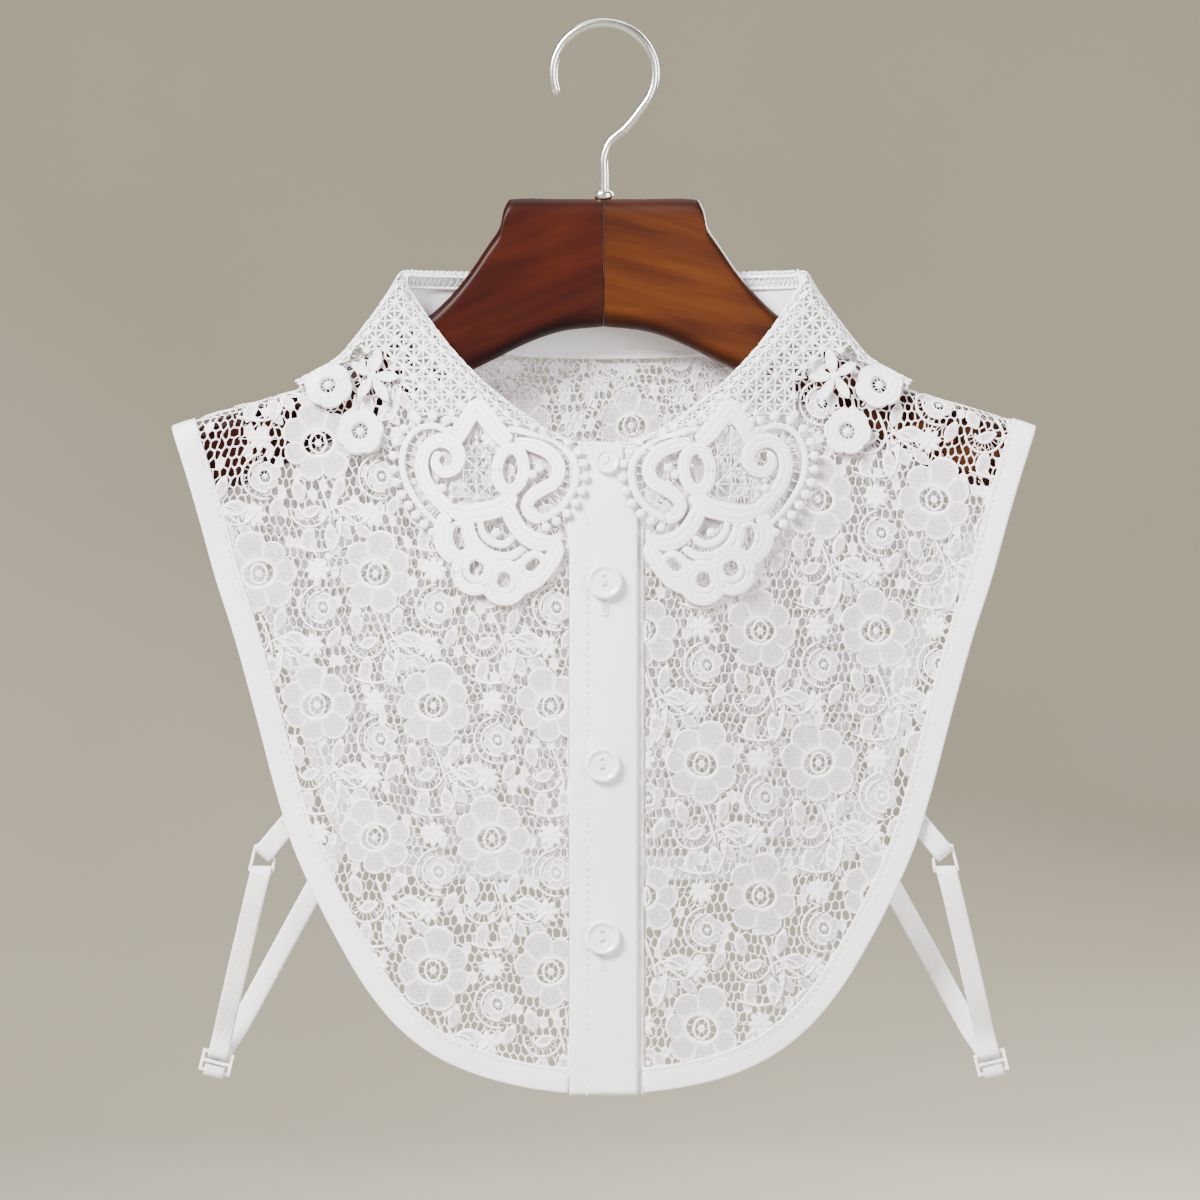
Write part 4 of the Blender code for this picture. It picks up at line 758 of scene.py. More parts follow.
# Guipure leaf, its right half as seen; the left half is the same, mirrored
ROSES = ((110.6, -146.6, 1.0, 20.0), (97.6, -165.4, 1.0, 50.0))  # x, z, scale, turn
ROSE = Rosette(
    heart=(3.3, 3.5), reach=(9.9, 9.6, 9.4, 9.8, 9.5, 9.7), notch=0.10, lift=-0.4,
    profile=((-0.04, -0.6, 0.9), (0.0, 0.75, 1.0), (0.16, 1.25, 1.0), (0.30, 0.70, 0.8), (0.38, 0.95, 1.0),
             (0.70, 0.95, 1.0), (0.78, 0.65, 0.8), (0.88, 1.35, 1.0), (0.96, 1.1, 1.0), (1.0, -0.4, 0.9)),
    crease=0.25, sides=10)
BOW = (93.0, -143.0)
BOW_PETALS = (  # turn, how far out, half length, half width
    (104.0, 6.4, 4.8, 2.3), (182.0, 6.0, 4.6, 2.2), (238.0, 6.8, 5.2, 2.2), (300.0, 5.8, 4.6, 2.1),
    (32.0, 5.4, 4.4, 2.1),
)
ROSE_LINKS = (  # x, z of one end and of the other
    (86.0, -153.0, 90.4, -158.4), (99.6, -150.6, 101.0, -157.6), (97.4, -139.6, 102.6, -141.4),
    (81.6, -143.4, 77.4, -144.6), (91.4, -134.0, 92.6, -129.6), (103.6, -155.0, 106.4, -151.0),
    (88.8, -166.2, 84.0, -169.6), (117.8, -141.6, 120.6, -139.2), (110.0, -137.4, 110.8, -134.0),
)
LEAF_OPEN = (  # round the roses, where there is no lattice
    (80.0, -162.0), (76.6, -151.0), (84.4, -139.6), (98.6, -131.6), (104.0, -138.0), (113.0, -140.6),
    (119.0, -146.0), (126.0, -158.0), (102.0, -190.0), (88.0, -182.0),
)
SCROLL_SHAPE = (  # the heart of tapes, with all that lies below it
    (6.0, -170.0), (16.0, -168.6), (28.0, -166.0), (38.0, -163.0), (45.4, -156.0), (50.4, -151.6), (55.6, -156.6),
    (60.0, -163.0), (69.0, -160.4), (79.0, -164.4), (86.0, -172.0), (100.0, -190.0), (60.0, -245.0), (0.0, -240.0),
    (0.0, -180.0),
)
CROWN = ((37.6, -171.0), (42.0, -166.4), (46.6, -160.6), (50.4, -156.4), (54.4, -161.4), (57.4, -167.0), (60.6, -171.4))
CROWN_HEART = (  # where the star net fills the crown
    (49.0, -160.6), (55.6, -170.0), (56.6, -180.4), (60.4, -184.4), (68.0, -184.4), (62.0, -196.6), (51.0, -196.0),
    (43.6, -194.0), (42.0, -188.0), (44.0, -180.0), (42.4, -171.0),
)
RIGHT_CORD = ((60.4, -167.4), (67.6, -163.6), (75.0, -165.0), (79.2, -170.4), (80.6, -177.6), (79.2, -185.4),
              (75.4, -192.4), (70.6, -198.6), (65.6, -203.4))
LEFT_CORD = ((38.4, -165.0), (28.6, -167.0), (19.6, -170.0), (13.6, -175.0), (11.0, -182.4), (12.6, -190.2),
             (17.4, -196.8), (24.6, -201.4))
FAN_INNER = ((35.4, -208.0), (39.4, -211.0), (44.2, -210.2), (48.0, -206.4), (49.2, -201.4))
FAN_MIDDLE = ((31.4, -212.6), (37.6, -215.8), (44.4, -215.0), (50.0, -210.8), (52.8, -204.4), (53.0, -200.0))
FAN_OUTER = ((26.4, -213.6), (31.8, -217.8), (38.6, -220.2), (45.6, -218.6), (51.2, -214.6), (54.6, -208.4), (55.6, -202.0))
TAPES = (  # width, its shares along the way, then turning points x, z
    (6.0, (0.8, 1.0, 1.0, 0.8), CROWN),
    (4.8, (1.0, 1.0, 1.0, 0.55), ((60.6, -198.4), (66.8, -192.0), (71.4, -185.4), (72.8, -178.4), (70.6, -172.2),
                                  (65.4, -169.4), (60.2, -171.2), (57.6, -176.0), (59.6, -181.0), (64.2, -182.0),
                                  (67.4, -178.2), (65.8, -173.8))),
    (4.4, (0.7, 1.0, 1.0, 0.8), ((35.0, -170.2), (27.0, -172.2), (20.8, -175.6), (17.8, -181.0), (19.4, -186.2),
                                 (24.6, -189.4), (28.8, -192.4), (30.4, -196.4), (28.2, -199.8), (24.2, -201.2))),
    (2.4, (0.8, 1.0, 1.0, 0.9), LEFT_CORD),
    (2.2, (0.7, 1.0, 1.0, 0.7), RIGHT_CORD),
    (6.2, (0.7, 1.0, 1.0, 0.6), ((35.6, -190.6), (40.0, -195.6), (47.4, -198.0), (55.6, -198.8), (62.6, -196.6))),
    (5.2, (0.9, 1.0, 1.1, 0.35), ((38.4, -195.6), (35.8, -201.6), (32.0, -206.8), (27.2, -209.8), (21.6, -210.2), (16.6, -207.2))),
    (2.6, (0.8, 1.0, 1.0, 0.8), FAN_INNER), (3.0, (0.8, 1.0, 1.0, 0.8), FAN_MIDDLE), (2.6, (0.8, 1.0, 1.0, 0.8), FAN_OUTER),
    (5.4, (0.8, 1.0, 1.0, 0.9), ((62.6, -199.0), (64.4, -204.0), (64.6, -209.0), (62.2, -213.6), (58.8, -217.0))),
    (5.2, (0.35, 1.0, 1.0, 0.9), ((17.6, -209.4), (19.4, -215.0), (22.8, -220.6), (27.4, -225.6), (32.6, -228.4))),
)
RINGS = (  # x, z, half width, half height, turn, width of the tape
    (37.0, -181.3, 5.3, 8.3, 4.0, 4.2), (57.2, -208.8, 3.7, 6.0, -12.0, 2.2),
    (50.4, -220.6, 4.3, 4.6, 0.0, 2.6), (51.0, -221.4, 7.4, 7.6, 0.0, 3.9),
    (39.6, -225.2, 4.2, 4.4, 0.0, 2.6), (39.2, -226.2, 7.2, 6.8, 0.0, 3.9),
    (28.0, -219.2, 4.6, 3.8, -30.0, 2.8),
)
COMBS = (  # line, pitch, length to its left, width
    (RIGHT_CORD, 4.1, -6.4, 1.3), (LEFT_CORD, 3.9, 6.0, 1.2), (FAN_INNER, 2.1, -4.8, 1.0), (FAN_MIDDLE, 2.3, -4.4, 1.0),
    (((20.0, -200.0), (26.0, -203.0), (32.4, -203.0)), 3.0, -7.0, 1.1),
    (((47.0, -220.2), (50.4, -220.2), (54.0, -220.2)), 2.0, 3.6, 0.7), (((36.6, -225.0), (42.8, -225.0)), 2.0, 3.6, 0.7),
    (((55.6, -209.0), (59.2, -208.4)), 1.8, 4.4, 0.7), (((25.0, -220.0), (31.0, -218.0)), 1.6, 2.6, 0.7),
)
PICOTS = ((RIGHT_CORD, 4.5, 3.8), (LEFT_CORD[1:], 4.4, -3.5))  # line, pitch, length to its left
LONE_BEADS = ((25.6, -180.9), (42.6, -206.4), (28.4, -183.4), (64.6, -188.6))
LATTICE = (7.6, 7.6)
LATTICE_CORD = 1.35
BACK_LATTICE = (8.6, 8.6)
CROWN_LATTICE = (10.6, 10.6)
PICOT_PITCH = 4.9
PICOT_RADIUS = 1.9
GUIPURE_LIFT = -0.9


@dataclass
class GuipureLeaf:
    """Heavy lace of the collar leaf: a star lattice, roses, a bow and a heart of scrolled tapes."""

    drape: Drape
    sign: float = 1.0

    def outline(self) -> Array:
        """Return the flat outline of this part of the leaf."""
        if self.drape.side is Side.FRONT:
            top_x = np.linspace(LEAF_EDGE[-1][0] + 1.0, LEAF_END_X, 40)
            low = smooth_line(LEAF_EDGE, 2.0)
        else:
            top_x = np.linspace(0.0, LEAF_END_X, 40)
            low_x = np.linspace(LEAF_END_X - 2.0, 0.0, 90)
            swing = np.abs(np.cos(low_x / LEAF_END_X * math.pi * LEAF_BACK_SCALLOPS / 2.0))
            low = np.column_stack([low_x, LEAF_BACK_EDGE_Z - LEAF_BACK_END_RISE * (1.0 - low_x / LEAF_END_X)
                                   - LEAF_BACK_SCALLOP_DEPTH * swing])
        top = np.column_stack([top_x, self.drape.ridge_limit(top_x)])
        return np.vstack([top, self.drape.unroll(low)])

    def turned(self, seen: Array) -> Array:
        """Return flat points on this half from points seen on the right half."""
        return self.drape.unroll(np.asarray(seen, float)) * (self.sign, 1.0)

    def tape(self, into: Patchwork, lines: Array, width: float, height: float = 1.9, rise: float = 0.5,
             closed: bool = False, widths: Array | float = 1.0, groove: float = 0.0) -> None:
        """Lay a raised tape, with a groove along its middle, on lines seen on the right half."""
        sides = 14 if groove else 8
        Thread(width, height, GUIPURE_LIFT + rise, sides, 0.5, groove).lay(
            into, self.drape, self.turned(lines), closed, widths)

    def lattice(self, into: Patchwork, pitch: tuple[float, float], cord: float, allowed) -> None:
        """Lay a star lattice: crossing cords with straight rays between, and a knot at each crossing."""
        outline = self.outline()
        across, down = pitch
        low, high = outline.min(axis=0), outline.max(axis=0)
        i, j = np.meshgrid(np.arange(int((high[0] - low[0]) / across * 2) + 3),
                           np.arange(int((high[1] - low[1]) / down * 2) + 3), indexing="ij")
        node = np.stack([low[0] + across / 2 * (i - 1), low[1] + down / 2 * (j - 1)], axis=-1)
        node += np.random.default_rng(SEED).normal(0.0, 0.2, node.shape)
        even = (i + j) % 2 == 0
        for di, dj, share, diagonal in ((1, 1, 1.0, True), (1, -1, 1.0, True), (1, 0, 0.8, False), (0, 1, 0.8, False)):
            a = node[:-1, 1:-1]
            b = node[di:len(node) - 1 + di, 1 + dj:node.shape[1] - 1 + dj]
            keep = even[:-1, 1:-1] if diagonal else np.ones(a.shape[:2], bool)
            line = np.stack([a, b], axis=2)[keep]
            line = line[allowed(line).all(axis=1)]
            Thread(cord * share, 0.8, GUIPURE_LIFT, 5 if self.drape.side is Side.FRONT else 4, 1.0).lay(
                into, self.drape, line * (self.sign, 1.0))
        knots = node[even]
        knots = knots[allowed(knots)]
        spots = np.column_stack([knots * (self.sign, 1.0), np.full((len(knots), 2), cord * 1.1), np.zeros(len(knots))])
        Plate(GUIPURE_LIFT + 0.5, 0.05, 0.7).lay(into, self.drape, spots, mark=1.0)

    def lay_lattices(self, into: Patchwork) -> None:
        """Lay the lattice of the upper leaf, and on the front the finer stars inside the crown."""
        outline = self.outline()
        front = self.drape.side is Side.FRONT
        shapes = [self.drape.unroll(np.array(shape)) for shape in (SCROLL_SHAPE, LEAF_OPEN, CROWN_HEART)]

        def upper(points: Array) -> Array:
            free = inside(points, outline)
            return free & ~inside(points, shapes[0]) & ~inside(points, shapes[1]) if front else free

        self.lattice(into, LATTICE if front else BACK_LATTICE, LATTICE_CORD if front else 1.05, upper)
        if front:
            self.lattice(into, CROWN_LATTICE, 0.75, lambda points: inside(points, shapes[2]))

    def lay_edges(self, into: Patchwork) -> None:
        """Lay, on the back, the picot beads along the lower edge with a cord inside them, and on every part the rough
        loops at the fold.
        """
        low = self.outline()[40:]
        cord = smooth_line(moved_line(low, -3.0), 2.0)
        beads = smooth_line(moved_line(low, -1.5), PICOT_PITCH)
        if self.drape.side is Side.BACK:
            self.beads(into, beads * (self.sign, 1.0), PICOT_RADIUS)
            Thread(2.3, 1.5, GUIPURE_LIFT + 0.4, 8, 0.6).lay(into, self.drape, (cord * (self.sign, 1.0))[None])
        top = self.outline()[:40]
        chance = np.random.default_rng(SEED + 3)
        loops = smooth_line(top - (0.0, 0.8), 2.1)
        loops = (loops + chance.normal(0.0, 0.4, loops.shape)) * (self.sign, 1.0)
        self.beads(into, loops, 1.0)
        rows = smooth_line(top - (0.0, 1.2), 1.5)[None] * (self.sign, 1.0)
        Thread(1.2, 1.1, GUIPURE_LIFT + 0.2).lay(into, self.drape, rows)

    def beads(self, into: Patchwork, middles: Array, radius: float) -> None:
        """Lay round knots of thread on flat places."""
        spots = np.column_stack([middles, np.full((len(middles), 2), radius), np.zeros(len(middles))])
        Plate(GUIPURE_LIFT + 0.3, 0.0, 0.9, dome=min(radius * 0.6, 1.0), detail=5).lay(into, self.drape, spots, mark=1.0)

    def lay_roses(self, into: Patchwork) -> None:
        """Lay both roses, each with spokes and a disc in its open heart, and the bow of petals."""
        roses = np.array(ROSES)
        flat = self.turned(roses[:, :2])
        ROSE.lay(into, self.drape, np.column_stack([flat, roses[:, 2], roses[:, 3] * self.sign]))
        turn = np.radians(np.arange(10) * 36.0)
        for x, z, *_ in ROSES:
            spokes = np.stack([(x, z) + np.column_stack([np.cos(turn), np.sin(turn)]) * r for r in (1.2, 3.8)], axis=1)
            self.tape(into, spokes, 0.75, 0.7, 0.1)
        self.beads(into, flat, 1.7)
        petals = np.array([(BOW[0] + out * math.cos(math.radians(a)), BOW[1] + out * math.sin(math.radians(a)),
                            long, wide, a) for a, out, long, wide in BOW_PETALS])
        turn = petals[:, 4] if self.sign > 0 else 180.0 - petals[:, 4]
        spots = np.column_stack([self.turned(petals[:, :2]), petals[:, 2:4], turn])
        Plate(GUIPURE_LIFT + 0.9, 0.5, 0.8, detail=7).lay(into, self.drape, spots, point=0.15, mark=1.0)
        self.beads(into, self.turned(np.array([BOW])), 2.0)
        self.tape(into, np.array(ROSE_LINKS).reshape(-1, 2, 2), 1.3, 1.0, 0.2)

    def lay_scroll(self, into: Patchwork) -> None:
        """Lay the heart of scrolled tapes, its rings, its ladders of bars and its beads."""
        for width, shares, points in TAPES:
            line = smooth_line(points, 1.1)
            along = np.linspace(0.0, 1.0, len(line))
            shape = np.interp(along, (0.0, 0.15, 0.7, 1.0), shares)
            self.tape(into, line[None], width * 1.3, 1.0, 0.45, widths=shape,
                      groove=0.32 if width > 3.6 else 0.0)
        turn = np.radians(np.arange(0.0, 360.0, 10.0))
        for x, z, wide, tall, tilt, width in RINGS:
            c, d = math.cos(math.radians(tilt)), math.sin(math.radians(tilt))
            u, w = wide * np.cos(turn), tall * np.sin(turn)
            ring = np.column_stack([x + u * c - w * d, z + u * d + w * c])
            self.tape(into, ring[None], width * 1.2, 1.05, 0.45, closed=True, groove=0.3 if width > 3.6 else 0.0)
        for line, pitch, length, width in COMBS:
            self.tape(into, comb(np.array(line), pitch, length), width, 1.0, 0.0)
        for line, pitch, length in PICOTS:
            bars = comb(np.array(line), pitch, length)
            self.tape(into, bars, 2.3, 1.2, 0.35)
            self.beads(into, self.turned(bars[:, -1]), PICOT_RADIUS)
        self.beads(into, self.turned(np.array(LONE_BEADS)), 1.9)
        ridge = smooth_line(CROWN, 4.6)
        self.beads(into, self.turned(moved_line(ridge, 4.4)[2:-1]), 1.5)

    def build(self, name: str, material: bpy.types.Material) -> bpy.types.Object:
        """Make this part of the leaf in place of its solid; the back has both its halves."""
        work = Patchwork(name)
        halves = [self] if self.drape.side is Side.FRONT else [self, GuipureLeaf(self.drape, -1.0)]
        for half in halves:
            half.lay_lattices(work)
            half.lay_edges(work)
            if half.drape.side is Side.FRONT:
                half.lay_roses(work)
                half.lay_scroll(work)
        piece = work.build(material)
        return piece


# Plain cotton: bindings, bands and the stand
BINDING_WIDTH = 10.0
BAND_LEFT, BAND_RIGHT = -13.7, 13.3
UNDER_BAND_LEFT, UNDER_BAND_RIGHT = -11.0, 16.3
STITCH_LENGTH, STITCH_PITCH = 2.1, 2.9
STAND_WALL = 1.5
STAND_TOP_DROP = 2.4
STAND_FOOT_GAP = 1.0
STAND_LAP_END, STAND_INNER_END = 7.9, -11.0
STAND_LAP_SHIFT = (34.0, 18.0)
STAND_LAST_STATION = 77.4
BUTTONS = ((1.3, -178.6, 10.0), (0.4, -225.8, 14.0), (-0.4, -297.9, 14.0), (-0.4, -366.0, 14.0))  # x, z, width


@dataclass(frozen=True)
class CottonStrip:
    """A folded strip of cotton: a thin closed section with soft edges, drawn in along its stitches."""

    wall: float
    lift: float
    stitch_at: tuple[float, ...]
    pucker: float = 0.16

    def section(self, width: float) -> tuple[Array, Array, Array]:
        """Return shares across, heights and the faces (1 outer, 0 inner) of the points round the strip."""
        soft = 0.45 / width
        t = np.unique(np.concatenate([
            np.array([0.0, soft * 0.4, soft * 1.2, soft * 3.0]), 1.0 - np.array([0.0, soft * 0.4, soft * 1.2, soft * 3.0]),
            np.linspace(0.0, 1.0, max(5, int(width / 2.2)))[1:-1],
            np.array([s + d for s in self.stitch_at for d in (-0.9 / width, 0.0, 0.9 / width)])]))
        t = t[(t >= 0.0) & (t <= 1.0)]
        near = np.minimum(t, 1.0 - t) / soft
        round_off = np.sqrt(np.clip(1.0 - (1.0 - np.minimum(near, 1.0)) ** 2, 0.0, 1.0))
        outer = self.lift - self.wall / 2 + self.wall / 2 * round_off
        inner = self.lift - self.wall / 2 - self.wall / 2 * round_off
        return np.concatenate([t, t[-2:0:-1]]), np.concatenate([outer, inner[-2:0:-1]]), \
            np.concatenate([np.ones(len(t)), np.zeros(len(t) - 2)])

    def sweep(self, into: Patchwork, cloth, length: Array, width: float) -> None:
        """Sweep the section.

        Args:
            into: the piece that gets the surface.
            cloth: gives the points and normals at a share across and a height above the cloth.
            length: how far along the strip each row is.
            width: the strip's width.
        """
        share, height, face = self.section(width)
        columns = []
        for t, h, f in zip(share, height, face):
            dip = sum(math.exp(-((t - s) * width / 0.8) ** 2) for s in self.stitch_at)
            ripple = sum(math.exp(-((t - s) * width / 3.0) ** 2) for s in self.stitch_at)
            wave = np.sin(length / 1.45 + 1.2 * np.sin(length / 9.0)) + 0.6 * np.sin(length / 4.6)
            soft = 0.22 * np.sin(length / 17.0 + t * 2.0)
            rise = h + f * (-0.28 * dip + self.pucker * ripple * wave) + soft * f
            columns.append(cloth(t, rise))
        grid = np.stack(columns, axis=1)
        grid = np.concatenate([grid[:1].mean(axis=1, keepdims=True) + (grid[:1] - grid[:1].mean(axis=1, keepdims=True)) * 0.05,
                               grid,
                               grid[-1:].mean(axis=1, keepdims=True) + (grid[-1:] - grid[-1:].mean(axis=1, keepdims=True)) * 0.05])
        run = np.concatenate([length[:1], length, length[-1:]])
        uv = np.stack(np.broadcast_arrays(run[:, None], share[None] * width), axis=-1)
        into.add(grid[None], uv[None], close_columns=True)


def run_of(line: Array) -> Array:
    """Return how far along a line each of its points is."""
    return np.concatenate([[0.0], np.cumsum(np.linalg.norm(np.diff(line, axis=0), axis=1))])


def stitches(into: Patchwork, line: Array, normals: Array, rise: float = 0.12) -> None:
    """Sew a row of short stitches along a line of points on the cloth."""
    run = run_of(line)
    starts = np.arange(0.6, run[-1] - STITCH_LENGTH, STITCH_PITCH)
    at = starts[:, None] + np.array([0.0, 0.33, 0.67, 1.0]) * STITCH_LENGTH
    points = np.stack([np.interp(at, run, line[:, i]) for i in range(3)], axis=-1)
    ways = unit(np.stack([np.interp(at, run, normals[:, i]) for i in range(3)], axis=-1))
    bow = np.array([-0.10, 0.06, 0.06, -0.10])[None, :, None]
    Thread(0.42, 0.30, 0.0, 5, 0.5).sweep(into, points + ways * (rise + bow), ways)


def edge_pair(rows: tuple, drape: Drape, start: float) -> tuple[Array, Array]:
    """Return matching points on the outer and inner edges of a binding, as flat lines."""
    outer = smooth_line(rows, 2.0)
    inner = moved_line(outer, -BINDING_WIDTH)
    ridge, _, _ = drape.top(outer[:, 0])
    keep = (outer[:, 1] < ridge + 1.0) & (outer[:, 0] >= start)
    outer, inner = outer[keep], inner[keep]
    flat_outer, flat_inner = drape.unroll(outer), drape.unroll(inner)
    for line in (flat_outer, flat_inner):
        line[:, 1] = np.minimum(line[:, 1], drape.ridge_limit(line[:, 0]))
    return flat_outer, flat_inner


@dataclass
class HalfShirt:
    """The cotton parts: edge bindings, button bands, stand and buttons."""

    cotton: bpy.types.Material
    plastic: bpy.types.Material

    def binding(self, name: str, drape: Drape, outer: Array, inner: Array) -> bpy.types.Object:
        """Make one binding in place of its solid, with its row of stitches."""
        strip = CottonStrip(2.0, 0.4, (0.83,))

        def cloth(t: float, rise: Array) -> Array:
            return drape.lay(outer + (inner - outer) * t, rise)[0]

        work = Patchwork(name)
        length = run_of(outer)
        strip.sweep(work, cloth, length, BINDING_WIDTH)
        line, normals = drape.lay(outer + (inner - outer) * 0.83, 0.22)
        stitches(work, line, normals)
        piece = work.build(self.cotton)
        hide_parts(name.removesuffix("_cloth"))
        return piece

    def bindings(self) -> dict[str, bpy.types.Object]:
        """Make the bindings of both fronts and of the back."""
        front, back = Drape(Side.FRONT), Drape(Side.BACK)
        made = {}
        outer, inner = edge_pair(FRONT_EDGE, front, 12.6)
        for side, sign in (("left", -1.0), ("right", 1.0)):
            name = f"binding_front_{side}"
            keep = outer[:, 0] > (BAND_RIGHT if sign > 0 else -BAND_LEFT) + 2.6 * (sign > 0)
            made[name] = self.binding(name + "_cloth", front, outer[keep] * (sign, 1.0), inner[keep] * (sign, 1.0))
        outer, inner = edge_pair(BACK_EDGE, back, 0.0)
        outer = np.vstack([outer, outer[-2::-1] * (-1.0, 1.0)])
        inner = np.vstack([inner, inner[-2::-1] * (-1.0, 1.0)])
        made["binding_back"] = self.binding("binding_back_cloth", back, outer, inner)
        return made

    def band(self, name: str, left: float, right: float, lift: float, seams: tuple) -> bpy.types.Object:
        """Make one button band, with its long rows of stitches and its buttonholes."""
        drape, width = Drape(Side.FRONT), right - left
        strip = CottonStrip(1.8, lift, seams)
        rows = np.linspace(0.0, 1.0, 126)

        def flat(t: float) -> Array:
            x = left + width * t
            seam = float(through(column(NECK, 0), column(NECK, 1), np.array([abs(x)]))[0]) - 0.5
            return np.column_stack([np.full(len(rows), x), seam + (HEM_Z - seam) * rows])

        work = Patchwork(name + "_cloth")
        length = run_of(flat(0.5))
        strip.sweep(work, lambda t, rise: drape.lay(flat(t), rise)[0], length, width)
        for seam in seams:
            line, normals = drape.lay(flat(seam), lift - 0.18)
            stitches(work, line, normals)
        if name == "placket":
            self.buttonholes(work, drape)
        piece = work.build(self.cotton)
        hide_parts(name)
        return piece

    def buttonholes(self, into: Patchwork, drape: Drape) -> None:
        """Sew the upright buttonholes: two closely sewn lips with a bar at each end."""
        for (x, z, width), way in zip(BUTTONS[1:], (-1.0, 1.0, -1.0)):
            middle = z + way * 4.2
            half = width / 2 + 1.4
            steps = np.linspace(-half, half, 34)
            for lip in (-0.75, 0.75):
                bars = np.stack([np.column_stack([np.full(34, x + lip - 0.65), middle + steps]),
                                 np.column_stack([np.full(34, x + lip), middle + steps]),
                                 np.column_stack([np.full(34, x + lip + 0.65), middle + steps])], axis=1)
                Thread(0.44, 0.36, 0.44).lay(into, drape, bars)
            ends = np.array([[(x - 1.5, middle + e), (x, middle + e), (x + 1.5, middle + e)]
                             for e in (-half - 0.4, half + 0.4)])
            Thread(0.9, 0.5, 0.5).lay(into, drape, ends)

    def stand_line(self) -> tuple[Array, Array]:
        """Return the foot and the head of the stand's middle, from the outer end round to the inner."""
        stations = np.append(column(NECK, 0)[:-2], STAND_LAST_STATION)
        halves = []
        for side, seam, fold, depth in ((Side.FRONT, 1, 3, 5), (Side.BACK, 2, 4, 6)):
            drape = Drape(side)
            z = through(column(NECK, 0), column(NECK, seam), stations)
            foot = drape.place(drape.unroll(np.column_stack([stations, z])))
            foot[:, 1] -= side.value * STAND_WALL / 2
            top = moved_line(np.column_stack([column(NECK, 0), column(NECK, fold)]), -STAND_TOP_DROP)
            head_y = column(NECK, depth) - side.value * STAND_WALL / 4
            head = np.column_stack([through(column(NECK, 0), values, stations)
                                    for values in (top[:, 0], head_y, top[:, 1])])
            foot += unit(head - foot) * STAND_FOOT_GAP
            halves.append(np.hstack([foot, head]))
        corner = np.array([[NECK_POINT_X, float(arm_depth(NECK_POINT_X)), BODY_RIDGE[1][1] + STAND_FOOT_GAP,
                            LEAF_CORNER_X - 1.6, NECK[-1][5], LEAF_RIDGE[0][1] - STAND_TOP_DROP]])
        half = np.vstack([halves[0], corner, halves[1][::-1]])
        flip = np.array([-1.0, 1.0, 1.0, -1.0, 1.0, 1.0])
        lap, inner_end = half[0].copy(), half[0] * flip
        lap[[0, 3]] = STAND_LAP_END
        inner_end[[0, 3]] = STAND_INNER_END
        line = smooth_line(np.vstack([lap, (half * flip)[1:], half[::-1][1:-1], half[0], inner_end]), 2.0)
        front = (line[:, 1] < -30.0) & (np.arange(len(line)) > len(line) / 2)
        under = np.where(front, np.clip((STAND_LAP_SHIFT[0] - line[:, 0]) / STAND_LAP_SHIFT[1], 0.0, 1.0), 0.0)
        shift = (STAND_WALL + 0.3) * under * under * (3.0 - 2.0 * under)
        line[:, [1, 4]] += shift[:, None]
        return line[:, :3], line[:, 3:]

    def stand(self) -> bpy.types.Object:
        """Make the stand: one band round the neck with piping at its top and two rows of stitches."""
        foot, head = self.stand_line()
        along = np.gradient((foot + head) / 2, axis=0)
        normals = unit(np.cross(along, head - foot))
        ends = np.minimum(run_of(foot), run_of(foot)[-1] - run_of(foot))
        corner = 1.0 - 0.26 * (1.0 - np.clip(ends / 6.0, 0.0, 1.0)) ** 2
        corner = np.where(np.arange(len(foot)) < len(foot) / 2, corner, 1.0)
        head = foot + (head - foot) * corner[:, None]
        width = float(np.median(np.linalg.norm(head - foot, axis=1)))
        strip = CottonStrip(STAND_WALL, STAND_WALL / 2, (0.07, 0.90))
        work = Patchwork("collar_stand_cloth")
        strip.sweep(work, lambda t, rise: foot + (head - foot) * t + normals * np.asarray(rise)[..., None],
                    run_of(foot), width)
        for share in (0.07, 0.90):
            line = foot + (head - foot) * share
            for face in (1.0, -1.0):
                stitches(work, line + normals * face * (STAND_WALL / 2 - 0.10), normals * face)
        Thread(1.9, 1.9, 0.0, 8).sweep(work, (head + unit(head - foot) * 0.2)[None], normals[None], mark=0.0)
        self.selvedge(work, head, unit(foot - head), normals)
        piece = work.build(self.cotton)
        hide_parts("collar_stand")
        return piece

    def selvedge(self, into: Patchwork, head: Array, down: Array, normals: Array) -> None:
        """Lay the lace selvedge that turns over the stand's top: two cords, a zigzag and small loops."""
        inward = np.sign(np.sum(normals * (head.mean(axis=0) - head), axis=1))[:, None] * normals
        run = run_of(head)
        at = np.arange(14.0, run[-1] - 14.0, 1.3)
        line, fall, face = (np.stack([np.interp(at, run, rows[:, i]) for i in range(3)], axis=-1)
                            for rows in (head, down, inward))
        base = line + face * (STAND_WALL / 2 + 0.5)
        for drop, width in ((0.0, 1.1), (4.6, 1.3)):
            Thread(width, 0.9, 0.0).sweep(into, (base + fall * drop)[None], face[None])
        swing = 2.3 + 1.9 * np.where(np.arange(len(at)) % 2 == 0, 1.0, -1.0)[:, None]
        Thread(0.85, 0.7, 0.0).sweep(into, (base + fall * swing)[None], face[None])
        tips = (base - fall * 1.2)[::2]
        loops = np.stack([tips - fall[::2] * 0.0, tips - fall[::2] * 0.8, tips - fall[::2] * 1.3], axis=1)
        Thread(1.3, 0.9, 0.0).sweep(into, loops, np.repeat(face[::2, None], 3, axis=1))

